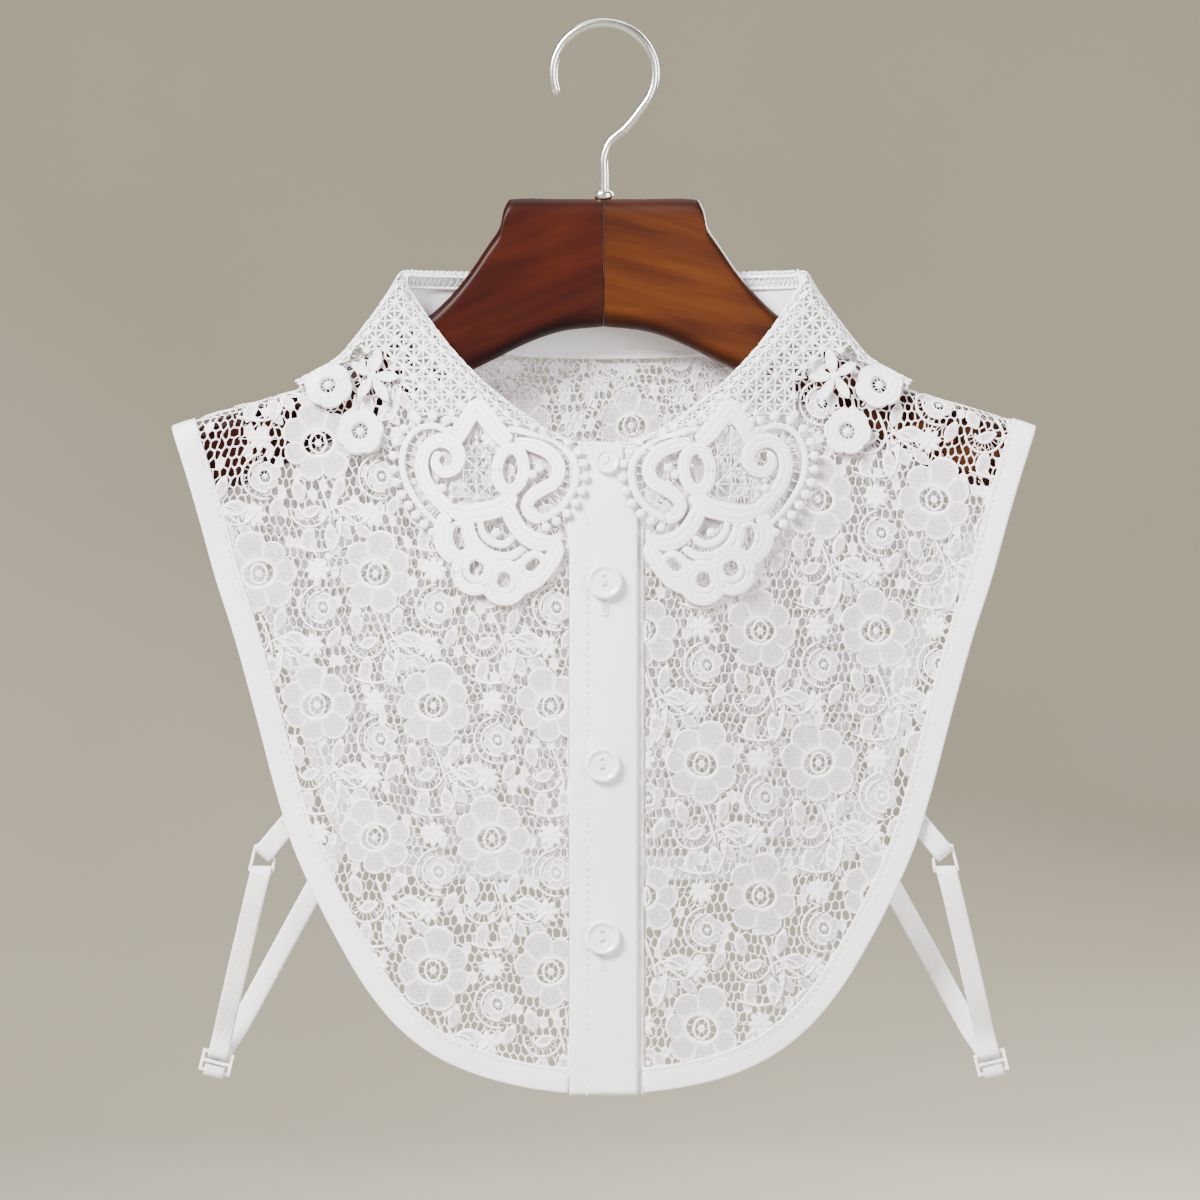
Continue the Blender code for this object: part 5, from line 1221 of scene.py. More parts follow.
    def buttons(self) -> list[bpy.types.Object]:
        """Make the four buttons: a dished face with a round rim and two holes that go deep."""
        drape, made = Drape(Side.FRONT), []
        knots = np.linspace(-1.0, 1.0, 37)
        s, t = np.meshgrid(knots, knots, indexing="ij")
        x, y = s * np.sqrt(1.0 - t * t / 2.0), t * np.sqrt(1.0 - s * s / 2.0)
        out = np.hypot(x, y)
        for number, (bx, bz, width) in enumerate(BUTTONS, start=1):
            middle, normal = (rows[0] for rows in drape.lay(np.array([[bx, bz]]), 0.6))
            level = unit(np.array([1.0, 0.0, 0.0]) - normal * normal[0])
            upright = np.cross(level, -normal)
            radius = width / 2
            height = np.interp(out, (0.0, 0.60, 0.70, 0.80, 0.88, 0.95, 0.985, 1.0),
                               (1.55, 1.62, 1.8, 2.30, 2.40, 2.2, 1.7, 1.1))
            tilt = math.radians(38.0 if number == 1 else 0.0)
            for way in (-1.0, 1.0):
                hx, hy = way * 0.24 * math.sin(tilt), way * 0.24 * math.cos(tilt)
                height = np.where(np.hypot(x - hx, y - hy) < 0.115, 0.35, height)
            face = middle + radius * (x[..., None] * level + y[..., None] * upright) + normal * height[..., None]
            rear = middle + radius * (x[..., None] * level + y[..., None] * upright) * 0.97 \
                + normal * np.interp(out, (0.0, 0.9, 1.0), (0.0, 0.05, 1.05))[..., None]
            work = Patchwork(f"button_{number}_moulded")
            uv = np.stack([x, y], axis=-1) * radius
            work.add(np.stack([face, rear]), np.stack([uv, uv]))
            piece = work.build(self.plastic)
            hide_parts(f"button_{number}")
            made.append(piece)
            way = level * math.sin(tilt) + upright * math.cos(tilt)
            sewn = Patchwork(f"button_{number}_thread")
            reach, rise = np.array([-0.26, -0.2, -0.08, 0.08, 0.2, 0.26]), np.array([0.9, 1.7, 1.95, 1.95, 1.7, 0.9])
            for shift in (-0.045, 0.045):
                aside = level * math.cos(tilt) - upright * math.sin(tilt)
                line = middle + radius * (reach[:, None] * way + shift * aside) + rise[:, None] * normal
                Thread(0.075 * radius, 0.4, 0.0).sweep(sewn, line[None], np.tile(normal, (6, 1))[None])
            stitch = sewn.build(self.cotton)
            made.append(stitch)
        return made


# Elastic loops at the sides
ELASTIC_WIDTH, ELASTIC_WALL = 8.0, 1.0
TAB_START = (124.6, -31.9, -320.6)
RING_TOP = (135.4, -29.9, -333.4)
RING_FOOT = (137.2, -29.9, -341.8)
SLIDER = (156.4, -13.0, -419.6)
BACK_LEG_END = (106.8, 5.0, -330.0)
SLIDER_BAR, SLIDER_REACH = 1.2, 4.4
LOOP_RADIUS = 2.1
LOOP_TAIL, LOOP_START, LOOP_STUB = (7.6, 5.0), (5.2, 1.6), 2.4


def outward(vector: Array) -> Array:
    """Return a width direction turned so that it points away from the centre."""
    return vector if vector[0] > 0 else -vector


def loop_round(bar: Array, away: Array, long_tail: bool = True) -> Array:
    """Return the points of a strap that comes back round a bar, its own run on the -Y side."""
    back = np.array([0.0, 1.0, 0.0])
    if long_tail:
        lap = LOOP_RADIUS - ELASTIC_WALL - 0.3
        points = [bar + away * LOOP_TAIL[0] - back * lap, bar + away * LOOP_TAIL[1] - back * (lap - 0.1)]
    else:
        points = [bar + away * LOOP_STUB + back * LOOP_RADIUS]
    turn = np.radians([90.0, 60.0, 20.0, -20.0, -60.0, -90.0])
    points += list(bar - away * LOOP_RADIUS * np.cos(turn)[:, None] + back * LOOP_RADIUS * np.sin(turn)[:, None])
    points.append(bar + away * LOOP_START[0 if long_tail else 1] - back * LOOP_RADIUS)
    return np.array(points)


@dataclass
class SideLoops:
    """The elastic loop of each side: a tab, a front leg and a back leg, each in place of its solid."""

    elastic: bpy.types.Material
    plastic: bpy.types.Material

    def lines(self) -> dict[str, tuple[Array, Array]]:
        """Return the line and the width directions of each strap of the right side."""
        tab_start, top, foot, slider, back_end = (
            np.array(p) for p in (TAB_START, RING_TOP, RING_FOOT, SLIDER, BACK_LEG_END))
        depth_way = np.array([0.0, 1.0, 0.0])
        tab_way = unit((tab_start - top) * (1.0, 0.0, 1.0))
        rise = unit((foot - slider) * (1.0, 0.0, 1.0))
        tab_across, slide_across = (outward(unit(np.cross(way, depth_way))) for way in (tab_way, rise))
        top_bar = slider + rise * (SLIDER_REACH - SLIDER_BAR / 2)
        low_bar = slider - rise * (SLIDER_REACH - SLIDER_BAR / 2)
        tab = np.vstack([loop_round(top, tab_way), [tab_start]])
        run = top_bar - foot
        between = [foot + run * share - (0.0, LOOP_RADIUS + slack, 0.0) for share, slack in ((0.35, 2.0), (0.7, 1.5))]
        front = np.vstack([loop_round(foot, -rise), between, loop_round(top_bar, rise)[::-1]])
        turn = np.clip((np.linspace(0.0, 1.0, len(front))[:, None] - 0.3) / 0.4, 0.0, 1.0)
        front_across = (1.0, 0.0, 0.0) * (1.0 - turn) + slide_across * turn
        start = loop_round(low_bar, rise, long_tail=False)
        start[:, 1] = 2 * low_bar[1] - start[:, 1]
        run = back_end - low_bar
        back = np.vstack([start, [low_bar + run * s + (0.0, LOOP_RADIUS, 0.0) for s in (0.2, 0.5, 0.8)], [back_end]])
        turn = np.clip((np.arange(len(back)) - len(start)) / 3.0, 0.0, 1.0)[:, None]
        wide = outward(unit(np.cross(run, (0.0, 1.0, 0.0))))
        return {"tab": (tab, np.tile(tab_across, (len(tab), 1))), "front": (front, front_across),
                "back": (back, slide_across * (1.0 - turn) + wide * turn)}

    def strap(self, name: str, line: Array, across: Array) -> bpy.types.Object:
        """Sweep the flat, soft-edged section of the elastic, and sew its end down."""
        both = smooth_line(np.hstack([line, across * 4.0]), 1.2)
        line, across = both[:, :3], both[:, 3:]
        along = unit(np.gradient(line, axis=0))
        across = unit(across - along * np.sum(across * along, axis=1)[:, None])
        normals = np.cross(along, across)
        half, wall = ELASTIC_WIDTH / 2, ELASTIC_WALL / 2
        share = np.array([-1.0, -0.96, -0.8, -0.4, 0.0, 0.4, 0.8, 0.96, 1.0, 0.96, 0.8, 0.4, 0.0, -0.4, -0.8, -0.96])
        face = np.array([0, .6, .95, 1, 1, 1, .95, .6, 0, -.6, -.95, -1, -1, -1, -.95, -.6])
        wave = 1.0 + 0.012 * np.sin(run_of(line) / 0.6)
        grid = (line[:, None] + across[:, None] * (share * half)[None, :, None] * wave[:, None, None]
                + normals[:, None] * (face * wall)[None, :, None])
        uv = np.stack(np.broadcast_arrays(run_of(line)[:, None], (share * half)[None]), axis=-1)
        work = Patchwork(name)
        work.add(grid[None], uv[None], close_columns=True)
        sewn = line[-6:] if "tab" in name else line[4:9]
        for shift in (-0.6, 0.6):
            bars = sewn[2] + along[2] * shift + across[2] * np.linspace(-3.4, 3.4, 12)[:, None]
            for way in (1.0, -1.0):
                lifted = bars + normals[2] * way * (wall + 0.05)
                Thread(0.4, 0.3, 0.0).sweep(work, lifted[None], np.tile(normals[2] * way, (12, 1))[None])
        return work.build(self.elastic)

    def ring(self, name: str, across: Array, flip: Array) -> bpy.types.Object:
        """Bend the wire of a ring, its top bar along the tab's fold and its foot bar level."""
        half = ELASTIC_WIDTH / 2 + 0.7
        top, foot = np.array(RING_TOP), np.array(RING_FOOT)
        level = np.array([1.0, 0.0, 0.0])
        corners = np.array([top - across * half, top + across * half, foot + level * half, foot - level * half])
        share = np.array([0.1, 0.18, 0.5, 0.82, 0.9])[:, None]
        line = np.concatenate([a + (b - a) * share for a, b in zip(corners, np.roll(corners, -1, axis=0))]) * flip
        work = Patchwork(name)
        Thread(1.3, 1.3, 0.0, 10).sweep(work, line[None], np.tile([0.0, -1.0, 0.0], (len(line), 1))[None], closed=True)
        return work.build(self.plastic)

    def build(self) -> dict[str, bpy.types.Object]:
        """Make the three straps and the ring of each side."""
        made = {}
        for side, sign in (("left", -1.0), ("right", 1.0)):
            flip = np.array([sign, 1.0, 1.0])
            for part, (line, across) in self.lines().items():
                name = f"strap_{part}_{side}"
                piece = self.strap(name + "_elastic", line * flip, across * flip)
                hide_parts(name)
                made[name] = piece
            name = f"strap_ring_{side}"
            made[name] = self.ring(name + "_wire", self.lines()["tab"][1][0], flip)
            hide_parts(name)
        return made


# The hanger
HANGER_WALL = 13.0
HANGER_EDGE_RADIUS = 5.8
HOOK_INNER_RADIUS, HOOK_WIRE_RADIUS = 19.0, 1.8
HOOK_FOOT_Z = -69.7
HANGER_JOINT = (0.03, -70.0, -121.8)
HANGER_BLOCK = ((0.2, -70.0, -121.8), (18.0, -70.0, -124.0), (34.0, -70.0, -130.0), (38.0, -70.3, -132.0))
HANGER_ARM = (  # x, top z, bottom z
    (38.6, -70.8, -132.3), (40.2, -73.6, -133.2), (42.2, -81.8, -134.2), (47.0, -89.2, -136.6),
    (54.0, -99.6, -140.0), (62.0, -109.5, -144.0), (70.0, -117.2, -148.2), (80.0, -124.2, -153.5),
    (92.0, -132.4, -159.6), (104.0, -140.5, -165.8), (116.0, -147.2, -172.0), (130.0, -152.8, -179.0),
    (144.0, -156.8, -185.8), (156.0, -160.8, -189.4), (162.0, -163.4, -189.0), (165.6, -166.4, -186.2),
    (167.4, -171.0, -181.0),
)


@dataclass
class Hanger:
    """The contoured hanger: two wooden halves, glued at the middle, and a wire hook; the halves are one wood, the left
    with painted shade and the right with painted light.
    """

    # dark is the wood darkened with painted shade, light the same wood lightened with painted light
    dark: bpy.types.Material
    light: bpy.types.Material
    steel: bpy.types.Material

    def half(self, name: str, sign: float, wood: bpy.types.Material, node: str) -> bpy.types.Object:
        """Sweep an upright rectangle with rounded edges from the joint to the end of one arm."""
        sections = np.vstack([HANGER_JOINT, smooth_line(HANGER_BLOCK, 2.0), smooth_line(HANGER_ARM, 2.2)])
        x, top, bottom = sections.T
        radius = np.minimum(HANGER_EDGE_RADIUS, (top - bottom) * 0.35)
        middle, half_z = (top + bottom) / 2, (top - bottom) / 2 - radius
        half_y = HANGER_WALL / 2 - radius
        angle = np.radians(np.concatenate([start + np.linspace(0.0, 90.0, 7) for start in (0, 90, 180, 270)]))
        corner_y = np.repeat([1.0, -1.0, -1.0, 1.0], 7)
        corner_z = np.repeat([1.0, 1.0, -1.0, -1.0], 7)
        ys = arm_depth(x)[:, None] + corner_y * half_y[:, None] + radius[:, None] * np.cos(angle)
        zs = middle[:, None] + corner_z * half_z[:, None] + radius[:, None] * np.sin(angle)
        arcs = np.stack(np.broadcast_arrays(x[:, None] * sign, ys, zs), axis=-1).reshape(len(x), 4, 7, 3)
        end, start = arcs[:, :, -1:], np.roll(arcs, -1, axis=1)[:, :, :1]
        flats = end + (start - end) * np.array([0.04, 0.5, 0.96])[:, None]
        rings = np.concatenate([arcs, flats], axis=2).reshape(len(x), 40, 3)
        caps = [rings[i].mean(axis=0) + (rings[i] - rings[i].mean(axis=0)) * 0.02 for i in (0, -1)]
        end = rings[-1].mean(axis=0) + (rings[-1] - rings[-1].mean(axis=0)) * 0.7 + (0.6 * sign, 0.0, 0.0)
        grid = np.concatenate([caps[0][None], rings, end[None], caps[1][None] + (0.8 * sign, 0.0, 0.0)])
        uv = grid[..., [0, 2]]
        work = Patchwork(name)
        # Weight of painted shade on the rounded edges: 1 at the middle of each rounding, 0 on the flat faces; it rides
        # in the thread mark.
        bend = np.tile([0.3, 0.6, 0.9, 1.0, 0.9, 0.6, 0.3, 0.2, 0.0, 0.2], 4)
        work.add(grid[None], uv[None], np.broadcast_to(bend, grid.shape[:2])[None], close_columns=True)
        piece = work.build(wood)
        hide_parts(node)
        return piece

    def hook(self) -> bpy.types.Object:
        """Sweep the wire of the hook from its tip over the rail's place down into the wood."""
        radius = HOOK_INNER_RADIUS + HOOK_WIRE_RADIUS
        turn = np.radians(np.linspace(205.0, -40.0, 40))
        ring = np.column_stack([radius * np.cos(turn), -HOOK_INNER_RADIUS + radius * np.sin(turn)])
        neck = [(8.4, -41.6), (2.6, -46.6), (0.0, -53.0), (0.0, -60.0), (0.0, HOOK_FOOT_Z - 1.0)]
        flat = smooth_line(np.vstack([ring, neck]), 1.5)
        line = np.column_stack([flat[:, 0], np.zeros(len(flat)), flat[:, 1]])
        sizes = np.interp(run_of(line), (0.0, 0.8, 2.0, 3.4), (0.45, 0.85, 1.0, 1.0))
        work = Patchwork("hanger_hook_wire")
        wire = Thread(2 * HOOK_WIRE_RADIUS, 2 * HOOK_WIRE_RADIUS, 0.0, 16, 0.2)
        wire.sweep(work, line[None], np.tile([0.0, -1.0, 0.0], (len(line), 1))[None], widths=sizes)
        collar = np.column_stack([np.zeros(5), np.zeros(5), np.linspace(-66.6, -70.2, 5)])
        Thread(6.4, 6.4, 0.0, 20, 0.8).sweep(work, collar[None], np.tile([0.0, -1.0, 0.0], (5, 1))[None],
                                           widths=np.array([1.0, 1.2, 1.25, 1.25, 1.2]))
        piece = work.build(self.steel)
        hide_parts("hanger_hook")
        return piece

    def build(self) -> None:
        """Make the whole hanger: the left half in the wood with painted shade, the right half in the wood with painted
        light.
        """
        self.half("hanger_left_wood", -1.0, self.dark, "hanger_left")
        self.half("hanger_right_wood", 1.0, self.light, "hanger_right")
        self.hook()


class Recipe:
    """A material's node tree, with short calls to add and join nodes."""

    def __init__(self, name: str) -> None:
        """Start a material with one principled shader."""
        self.material = bpy.data.materials.new(name)
        self.material.use_nodes = True
        self.tree = self.material.node_tree
        self.shader = self.tree.nodes["Principled BSDF"]

    def set(self, **values: float | tuple) -> None:
        """Set sockets of the shader by name, with spaces written as underscores."""
        for key, value in values.items():
            self.shader.inputs[key.replace("_", " ")].default_value = value

    def node(self, kind: str, inputs: dict | None = None, **settings) -> bpy.types.Node:
        """Add a node, with some sockets set or linked and some settings changed."""
        made = self.tree.nodes.new("ShaderNode" + kind)
        for key, value in settings.items():
            setattr(made, key, value)
        for key, value in (inputs or {}).items():
            if isinstance(value, bpy.types.NodeSocket):
                self.tree.links.new(value, made.inputs[key])
            else:
                made.inputs[key].default_value = value
        return made

    def link(self, output: bpy.types.NodeSocket, name: str) -> None:
        """Link an output to a socket of the shader."""
        self.tree.links.new(output, self.shader.inputs[name])

    def place(self, scale: tuple, turn: float = 0.0) -> bpy.types.NodeSocket:
        """Return object coordinates in millimetres, scaled, and turned about y in degrees."""
        coordinates = self.node("TexCoord").outputs["Object"]
        return self.node("Mapping", {"Vector": coordinates, "Rotation": (0.0, math.radians(turn), 0.0),
                                     "Scale": tuple(MM / s for s in scale)}, vector_type="TEXTURE").outputs["Vector"]

    def cloth_place(self, scale: float = 1.0) -> bpy.types.NodeSocket:
        """Return the place on the cloth, in millimetres along and across it, scaled."""
        coordinates = self.node("UVMap", uv_map="cloth").outputs["UV"]
        return self.node("Mapping", {"Vector": coordinates, "Scale": (scale,) * 3}).outputs["Vector"]

    def ramp(self, value: bpy.types.NodeSocket, stops: tuple) -> bpy.types.NodeSocket:
        """Return a colour read from a value: stops are a place and a colour each."""
        made = self.node("ValToRGB", {"Fac": value})
        elements = made.color_ramp.elements
        while len(elements) < len(stops):
            elements.new(0.5)
        for element, (at, colour) in zip(elements, stops):
            element.position, element.color = at, (*colour, 1.0)
        return made.outputs["Color"]

    def bump(self, heights: list[tuple[bpy.types.NodeSocket, float]]) -> None:
        """Chain bumps, each a height and how deep it is in millimetres, into the shader's normal."""
        normal = None
        for height, depth in heights:
            inputs = {"Height": height, "Distance": depth * MM, "Strength": 1.0}
            if normal is not None:
                inputs["Normal"] = normal
            normal = self.node("Bump", inputs).outputs["Normal"]
        self.link(normal, "Normal")

    def weave(self, pitch: float) -> bpy.types.NodeSocket:
        """Return the height of a plain weave: two sets of waves, crossed, at a pitch in millimetres."""
        place = self.cloth_place(math.tau / (20.0 * pitch))
        waves = [self.node("TexWave", {"Vector": place, "Scale": 1.0, "Distortion": 0.4}, bands_direction=way)
                 for way in ("X", "Y")]
        return self.node("Math", {0: waves[0].outputs["Fac"], 1: waves[1].outputs["Fac"]},
                         operation="MULTIPLY").outputs["Value"]


@dataclass(frozen=True)
class Cloth:
    """A matt white cloth: its colour in the hollows, darkened with painted shade, and on the raised threads, lightened
    with painted light, its weave and its creases.
    """

    name: str
    hollow: tuple
    thread: tuple
    weave: float
    weave_depth: float
    crease_depth: float
    sheen: float
    mesh: float = 0.0

    def make(self) -> bpy.types.Material:
        """Make the material: colour by the thread mark, painted shade on plain cloth and painted light on raised
        thread, and soft stains of tone, with weave and creases.
        """
        recipe = Recipe(self.name)
        mark = recipe.node("Attribute", attribute_name="thread").outputs["Fac"]
        tone = recipe.node("TexNoise", {"Vector": recipe.place((0.03,) * 3), "Scale": 1.0, "Detail": 3.0})
        weave = recipe.weave(self.weave)
        low = recipe.node("Math", {0: tone.outputs["Fac"], 1: 0.3, 2: 0.15}, operation="MULTIPLY_ADD")
        both = recipe.node("Math", {0: mark, 1: 0.7, 2: low.outputs["Value"]}, operation="MULTIPLY_ADD")
        # Painted shade: the holes of a drawn fine mesh in the plain fill are darkened, as the dark behind real fine
        # lace shows through.
        if self.mesh:
            cell = recipe.node("TexVoronoi", {"Vector": recipe.cloth_place(1.0 / self.mesh), "Scale": 1.0,
                                              "Randomness": 0.35})
            hole = recipe.node("Math", {0: cell.outputs["Distance"], 1: -4.0, 2: 1.75}, operation="MULTIPLY_ADD",
                               use_clamp=True)
            plain = recipe.node("Math", {0: 1.0, 1: mark}, operation="SUBTRACT", use_clamp=True)
            dark = recipe.node("Math", {0: hole.outputs["Value"], 1: plain.outputs["Value"]}, operation="MULTIPLY")
            both = recipe.node("Math", {0: dark.outputs["Value"], 1: -0.3, 2: both.outputs["Value"]},
                               operation="MULTIPLY_ADD")
        # The colour of that painted shade: the hollow colour at 0.55.
        shade = tuple(0.55 * part for part in self.hollow) if self.mesh else self.hollow
        recipe.link(recipe.ramp(both.outputs["Value"], ((0.0, shade), (0.3, self.hollow), (1.0, self.thread))),
                    "Base Color")
        crease = recipe.node("TexNoise", {"Vector": recipe.place((0.05, 0.05, 0.02)), "Scale": 1.0, "Detail": 2.0})
        fuzz = recipe.node("TexNoise", {"Vector": recipe.place((2.5,) * 3), "Scale": 1.0, "Detail": 2.0})
        recipe.bump([(crease.outputs["Fac"], self.crease_depth), (weave, self.weave_depth),
                     (fuzz.outputs["Fac"], self.weave_depth * 0.8)])
        recipe.set(Roughness=0.85, Sheen_Weight=self.sheen, Sheen_Roughness=0.5, Specular_IOR_Level=0.25)
        return recipe.material


@dataclass(frozen=True)
class Wood:
    """Varnished wood: streaks and pores along the grain under a clear coat."""

    name: str
    dark: tuple
    middle: tuple
    light: tuple
    turn: float

    def make(self) -> bpy.types.Material:
        """Make the material: long streaks of two sizes, pores, painted shade darkening the rounded edges, and a coat
        with slight waves.
        """
        recipe = Recipe(self.name)
        broad = recipe.node("TexNoise", {"Vector": recipe.place((0.014, 0.05, 0.13), self.turn), "Scale": 1.0,
                                         "Detail": 4.0, "Roughness": 0.5, "Distortion": 0.4})
        fine = recipe.node("TexNoise", {"Vector": recipe.place((0.05, 0.6, 1.5), self.turn), "Scale": 1.0,
                                        "Detail": 4.0, "Roughness": 0.7})
        mix = recipe.node("Math", {0: fine.outputs["Fac"], 1: 0.22, 2: -0.11}, operation="MULTIPLY_ADD")
        grain = recipe.node("Math", {0: broad.outputs["Fac"], 1: mix.outputs["Value"]}, operation="ADD",
                            use_clamp=True)
        colour = recipe.ramp(grain.outputs["Value"], ((0.28, self.dark), (0.5, self.middle), (0.74, self.light)))
        across = recipe.node("SeparateXYZ", {"Vector": recipe.place((1.0,) * 3)}).outputs["X"]
        distance = recipe.node("Math", {0: across}, operation="ABSOLUTE")
        glue = recipe.ramp(distance.outputs["Value"], ((0.1, (0.12, 0.08, 0.06)), (0.55, (1.0, 1.0, 1.0))))
        # Painted shade: the rounded edges, weighted by the thread mark, darkened to about two fifths.
        edge = recipe.ramp(recipe.node("Attribute", attribute_name="thread").outputs["Fac"],
                           ((0.0, (1.0, 1.0, 1.0)), (1.0, (0.42, 0.34, 0.30))))
        for shade in (glue, edge):
            colour = recipe.node("Mix", {6: colour, 7: shade, 0: 1.0}, data_type="RGBA",
                                 blend_type="MULTIPLY").outputs[2]
        recipe.link(colour, "Base Color")
        recipe.bump([(fine.outputs["Fac"], 0.02), (broad.outputs["Fac"], 0.04)])
        recipe.set(Roughness=0.5, Specular_IOR_Level=0.1, Coat_Weight=0.04, Coat_Roughness=0.25)
        return recipe.material


def make_elastic() -> bpy.types.Material:
    """Make the ribbed elastic: ribs along the strap and fine bars across it, with painted shade in the grooves between
    the ribs.
    """
    recipe = Recipe("ribbed_elastic")
    rib = recipe.node("TexWave", {"Vector": recipe.cloth_place(math.tau / 20.0), "Scale": 1.0 / 0.9},
                      bands_direction="Y")
    bar = recipe.node("TexWave", {"Vector": recipe.cloth_place(math.tau / 20.0), "Scale": 1.0 / 0.5},
                      bands_direction="X")
    # Painted shade: the colour follows the rib height, darker in the grooves.
    recipe.link(recipe.ramp(rib.outputs["Fac"], ((0.0, (0.74, 0.73, 0.76)), (1.0, (0.88, 0.88, 0.90)))), "Base Color")
    recipe.bump([(rib.outputs["Fac"], 0.10), (bar.outputs["Fac"], 0.05)])
    recipe.set(Roughness=0.6, Sheen_Weight=0.3, Specular_IOR_Level=0.35)
    return recipe.material


def make_plastic() -> bpy.types.Material:
    """Make the moulded plastic: milky white, glossy, with faint flow marks."""
    recipe = Recipe("milky_plastic")
    flow = recipe.node("TexNoise", {"Vector": recipe.place((0.25,) * 3), "Scale": 1.0, "Detail": 2.0})
    recipe.link(recipe.ramp(flow.outputs["Fac"], ((0.3, (0.83, 0.84, 0.87)), (0.7, (0.90, 0.90, 0.92)))), "Base Color")
    recipe.bump([(flow.outputs["Fac"], 0.02)])
    recipe.set(Roughness=0.22, Coat_Weight=0.4, Coat_Roughness=0.1, Subsurface_Weight=0.15)
    recipe.shader.inputs["Subsurface Radius"].default_value = (0.001, 0.001, 0.001)
    return recipe.material


def make_steel() -> bpy.types.Material:
    """Make the bright wire, drawn lengthwise, with faint scratches."""
    recipe = Recipe("drawn_steel")
    scratch = recipe.node("TexNoise", {"Vector": recipe.place((0.5, 0.5, 3.0)), "Scale": 1.0, "Detail": 4.0})
    recipe.link(recipe.ramp(scratch.outputs["Fac"], ((0.3, (0.62, 0.62, 0.63)), (0.7, (0.80, 0.80, 0.80)))), "Base Color")
    recipe.bump([(scratch.outputs["Fac"], 0.02)])
    recipe.set(Metallic=1.0, Roughness=0.24)
    return recipe.material


def make_studio_cloth() -> bpy.types.Material:
    """Make the pale floor and backdrop, a plain warm grey with hardly any tone."""
    recipe = Recipe("studio_sweep")
    tone = recipe.node("TexNoise", {"Vector": recipe.place((0.004,) * 3), "Scale": 1.0, "Detail": 2.0})
    recipe.link(recipe.ramp(tone.outputs["Fac"], ((0.3, (0.262, 0.238, 0.182)), (0.7, (0.276, 0.252, 0.194)))), "Base Color")
    recipe.set(Roughness=0.9)
    return recipe.material


@dataclass(frozen=True)
class Studio:
    """A pale round sweep, soft lights and a level camera with a long lens."""

    middle: tuple[float, float, float] = (-1.5, -30.0, -233.0)
    distance: float = 1800.0
    field: float = 480.0
    floor: float = -640.0
    reach: float = 2300.0
    bend: float = 700.0
    top: float = 1000.0

    def sweep(self) -> None:
        """Make the floor and the backdrop as one round dish, so that every side has the same pale ground.

        The profile (radius, z) is level, turns up in a quarter circle and ends as an upright wall,
        and is carried round the middle: x is radius * cos a and y is radius * sin a.
        """
        turn = np.linspace(0.0, math.pi / 2, 20)
        profile = np.vstack([
            [(0.5, self.floor), (self.reach / 3, self.floor)],
            np.column_stack([self.reach - self.bend + self.bend * np.sin(turn),
                             self.floor + self.bend * (1.0 - np.cos(turn))]),
            [(self.reach, self.top)]])
        angle = np.arange(96) * math.tau / 96
        grid = np.stack(np.broadcast_arrays(profile[:, :1] * np.cos(angle), profile[:, :1] * np.sin(angle),
                                            profile[:, 1:]), axis=-1)
        work = Patchwork("studio_floor")
        work.add(grid[None], grid[None, ..., :2], close_columns=True)
        work.build(make_studio_cloth(), rides=False)

    def light(self, name: str, place: tuple, size: float, power: float, colour: tuple) -> None:
        """Hang one square soft light that looks at the garment."""
        lamp = bpy.data.lights.new(name, "AREA")
        lamp.shape, lamp.size, lamp.energy, lamp.color = "SQUARE", size, power, colour
        item = bpy.data.objects.new(name, lamp)
        bpy.context.scene.collection.objects.link(item)
        self.aim(item, np.array(place) * MM)

    def aim(self, item: bpy.types.Object, place: Array) -> None:
        """Put an object at a place, turned to look at the middle of the garment."""
        item.location = place
        way = Vector(np.array(self.middle) * MM) - Vector(place)
        item.rotation_euler = way.to_track_quat("-Z", "Y").to_euler()

    def camera(self) -> None:
        """Set the camera level with the garment, straight in front of it."""
        lens = bpy.data.cameras.new("front_camera")
        lens.sensor_width, lens.lens = 36.0, 36.0 * self.distance / self.field
        item = bpy.data.objects.new("front_camera", lens)
        bpy.context.scene.collection.objects.link(item)
        x, y, z = self.middle
        self.aim(item, np.array((x, y - self.distance, z)) * MM)
        bpy.context.scene.camera = item

    def build(self) -> None:
        """Set the floor, the lights, the sky and the camera."""
        self.sweep()
        self.light("key_light", (-1000.0, -1200.0, 900.0), 0.7, 165.0, (1.0, 0.985, 0.97))
        self.light("fill_light", (1200.0, -1200.0, 100.0), 1.0, 30.0, (0.95, 0.96, 1.0))
        self.light("top_light", (0.0, 300.0, 1100.0), 1.0, 12.0, (1.0, 1.0, 1.0))
        self.light("back_light", (700.0, 1500.0, 500.0), 0.9, 70.0, (1.0, 0.985, 0.97))
        world = bpy.data.worlds.new("studio_air")
        world.use_nodes = True
        world.node_tree.nodes["Background"].inputs["Color"].default_value = (0.93, 0.94, 0.96, 1.0)
        world.node_tree.nodes["Background"].inputs["Strength"].default_value = 0.26
        bpy.context.scene.world = world
        self.camera()


def front_outline(sign: float) -> Array:
    """Return the flat outline of one front's lace, which reaches under its binding and its band."""
    drape = Drape(Side.FRONT)
    outer = drape.unroll(moved_line(smooth_line(FRONT_EDGE, 6.0), -3.0))
    centre = 12.0 if sign < 0 else 15.0
    outer = outer[outer[:, 0] > centre]
    xs = np.linspace(centre, outer[0, 0], 60)
    seam = through(column(NECK, 0), column(NECK, 1), xs)
    top = np.where(xs < NECK_POINT_X, np.minimum(seam, drape.ridge_limit(xs)), drape.ridge_limit(xs))
    shape = np.vstack([np.column_stack([xs, top]), outer, [[centre, outer[-1, 1]]]])
    return shape * (sign, 1.0)


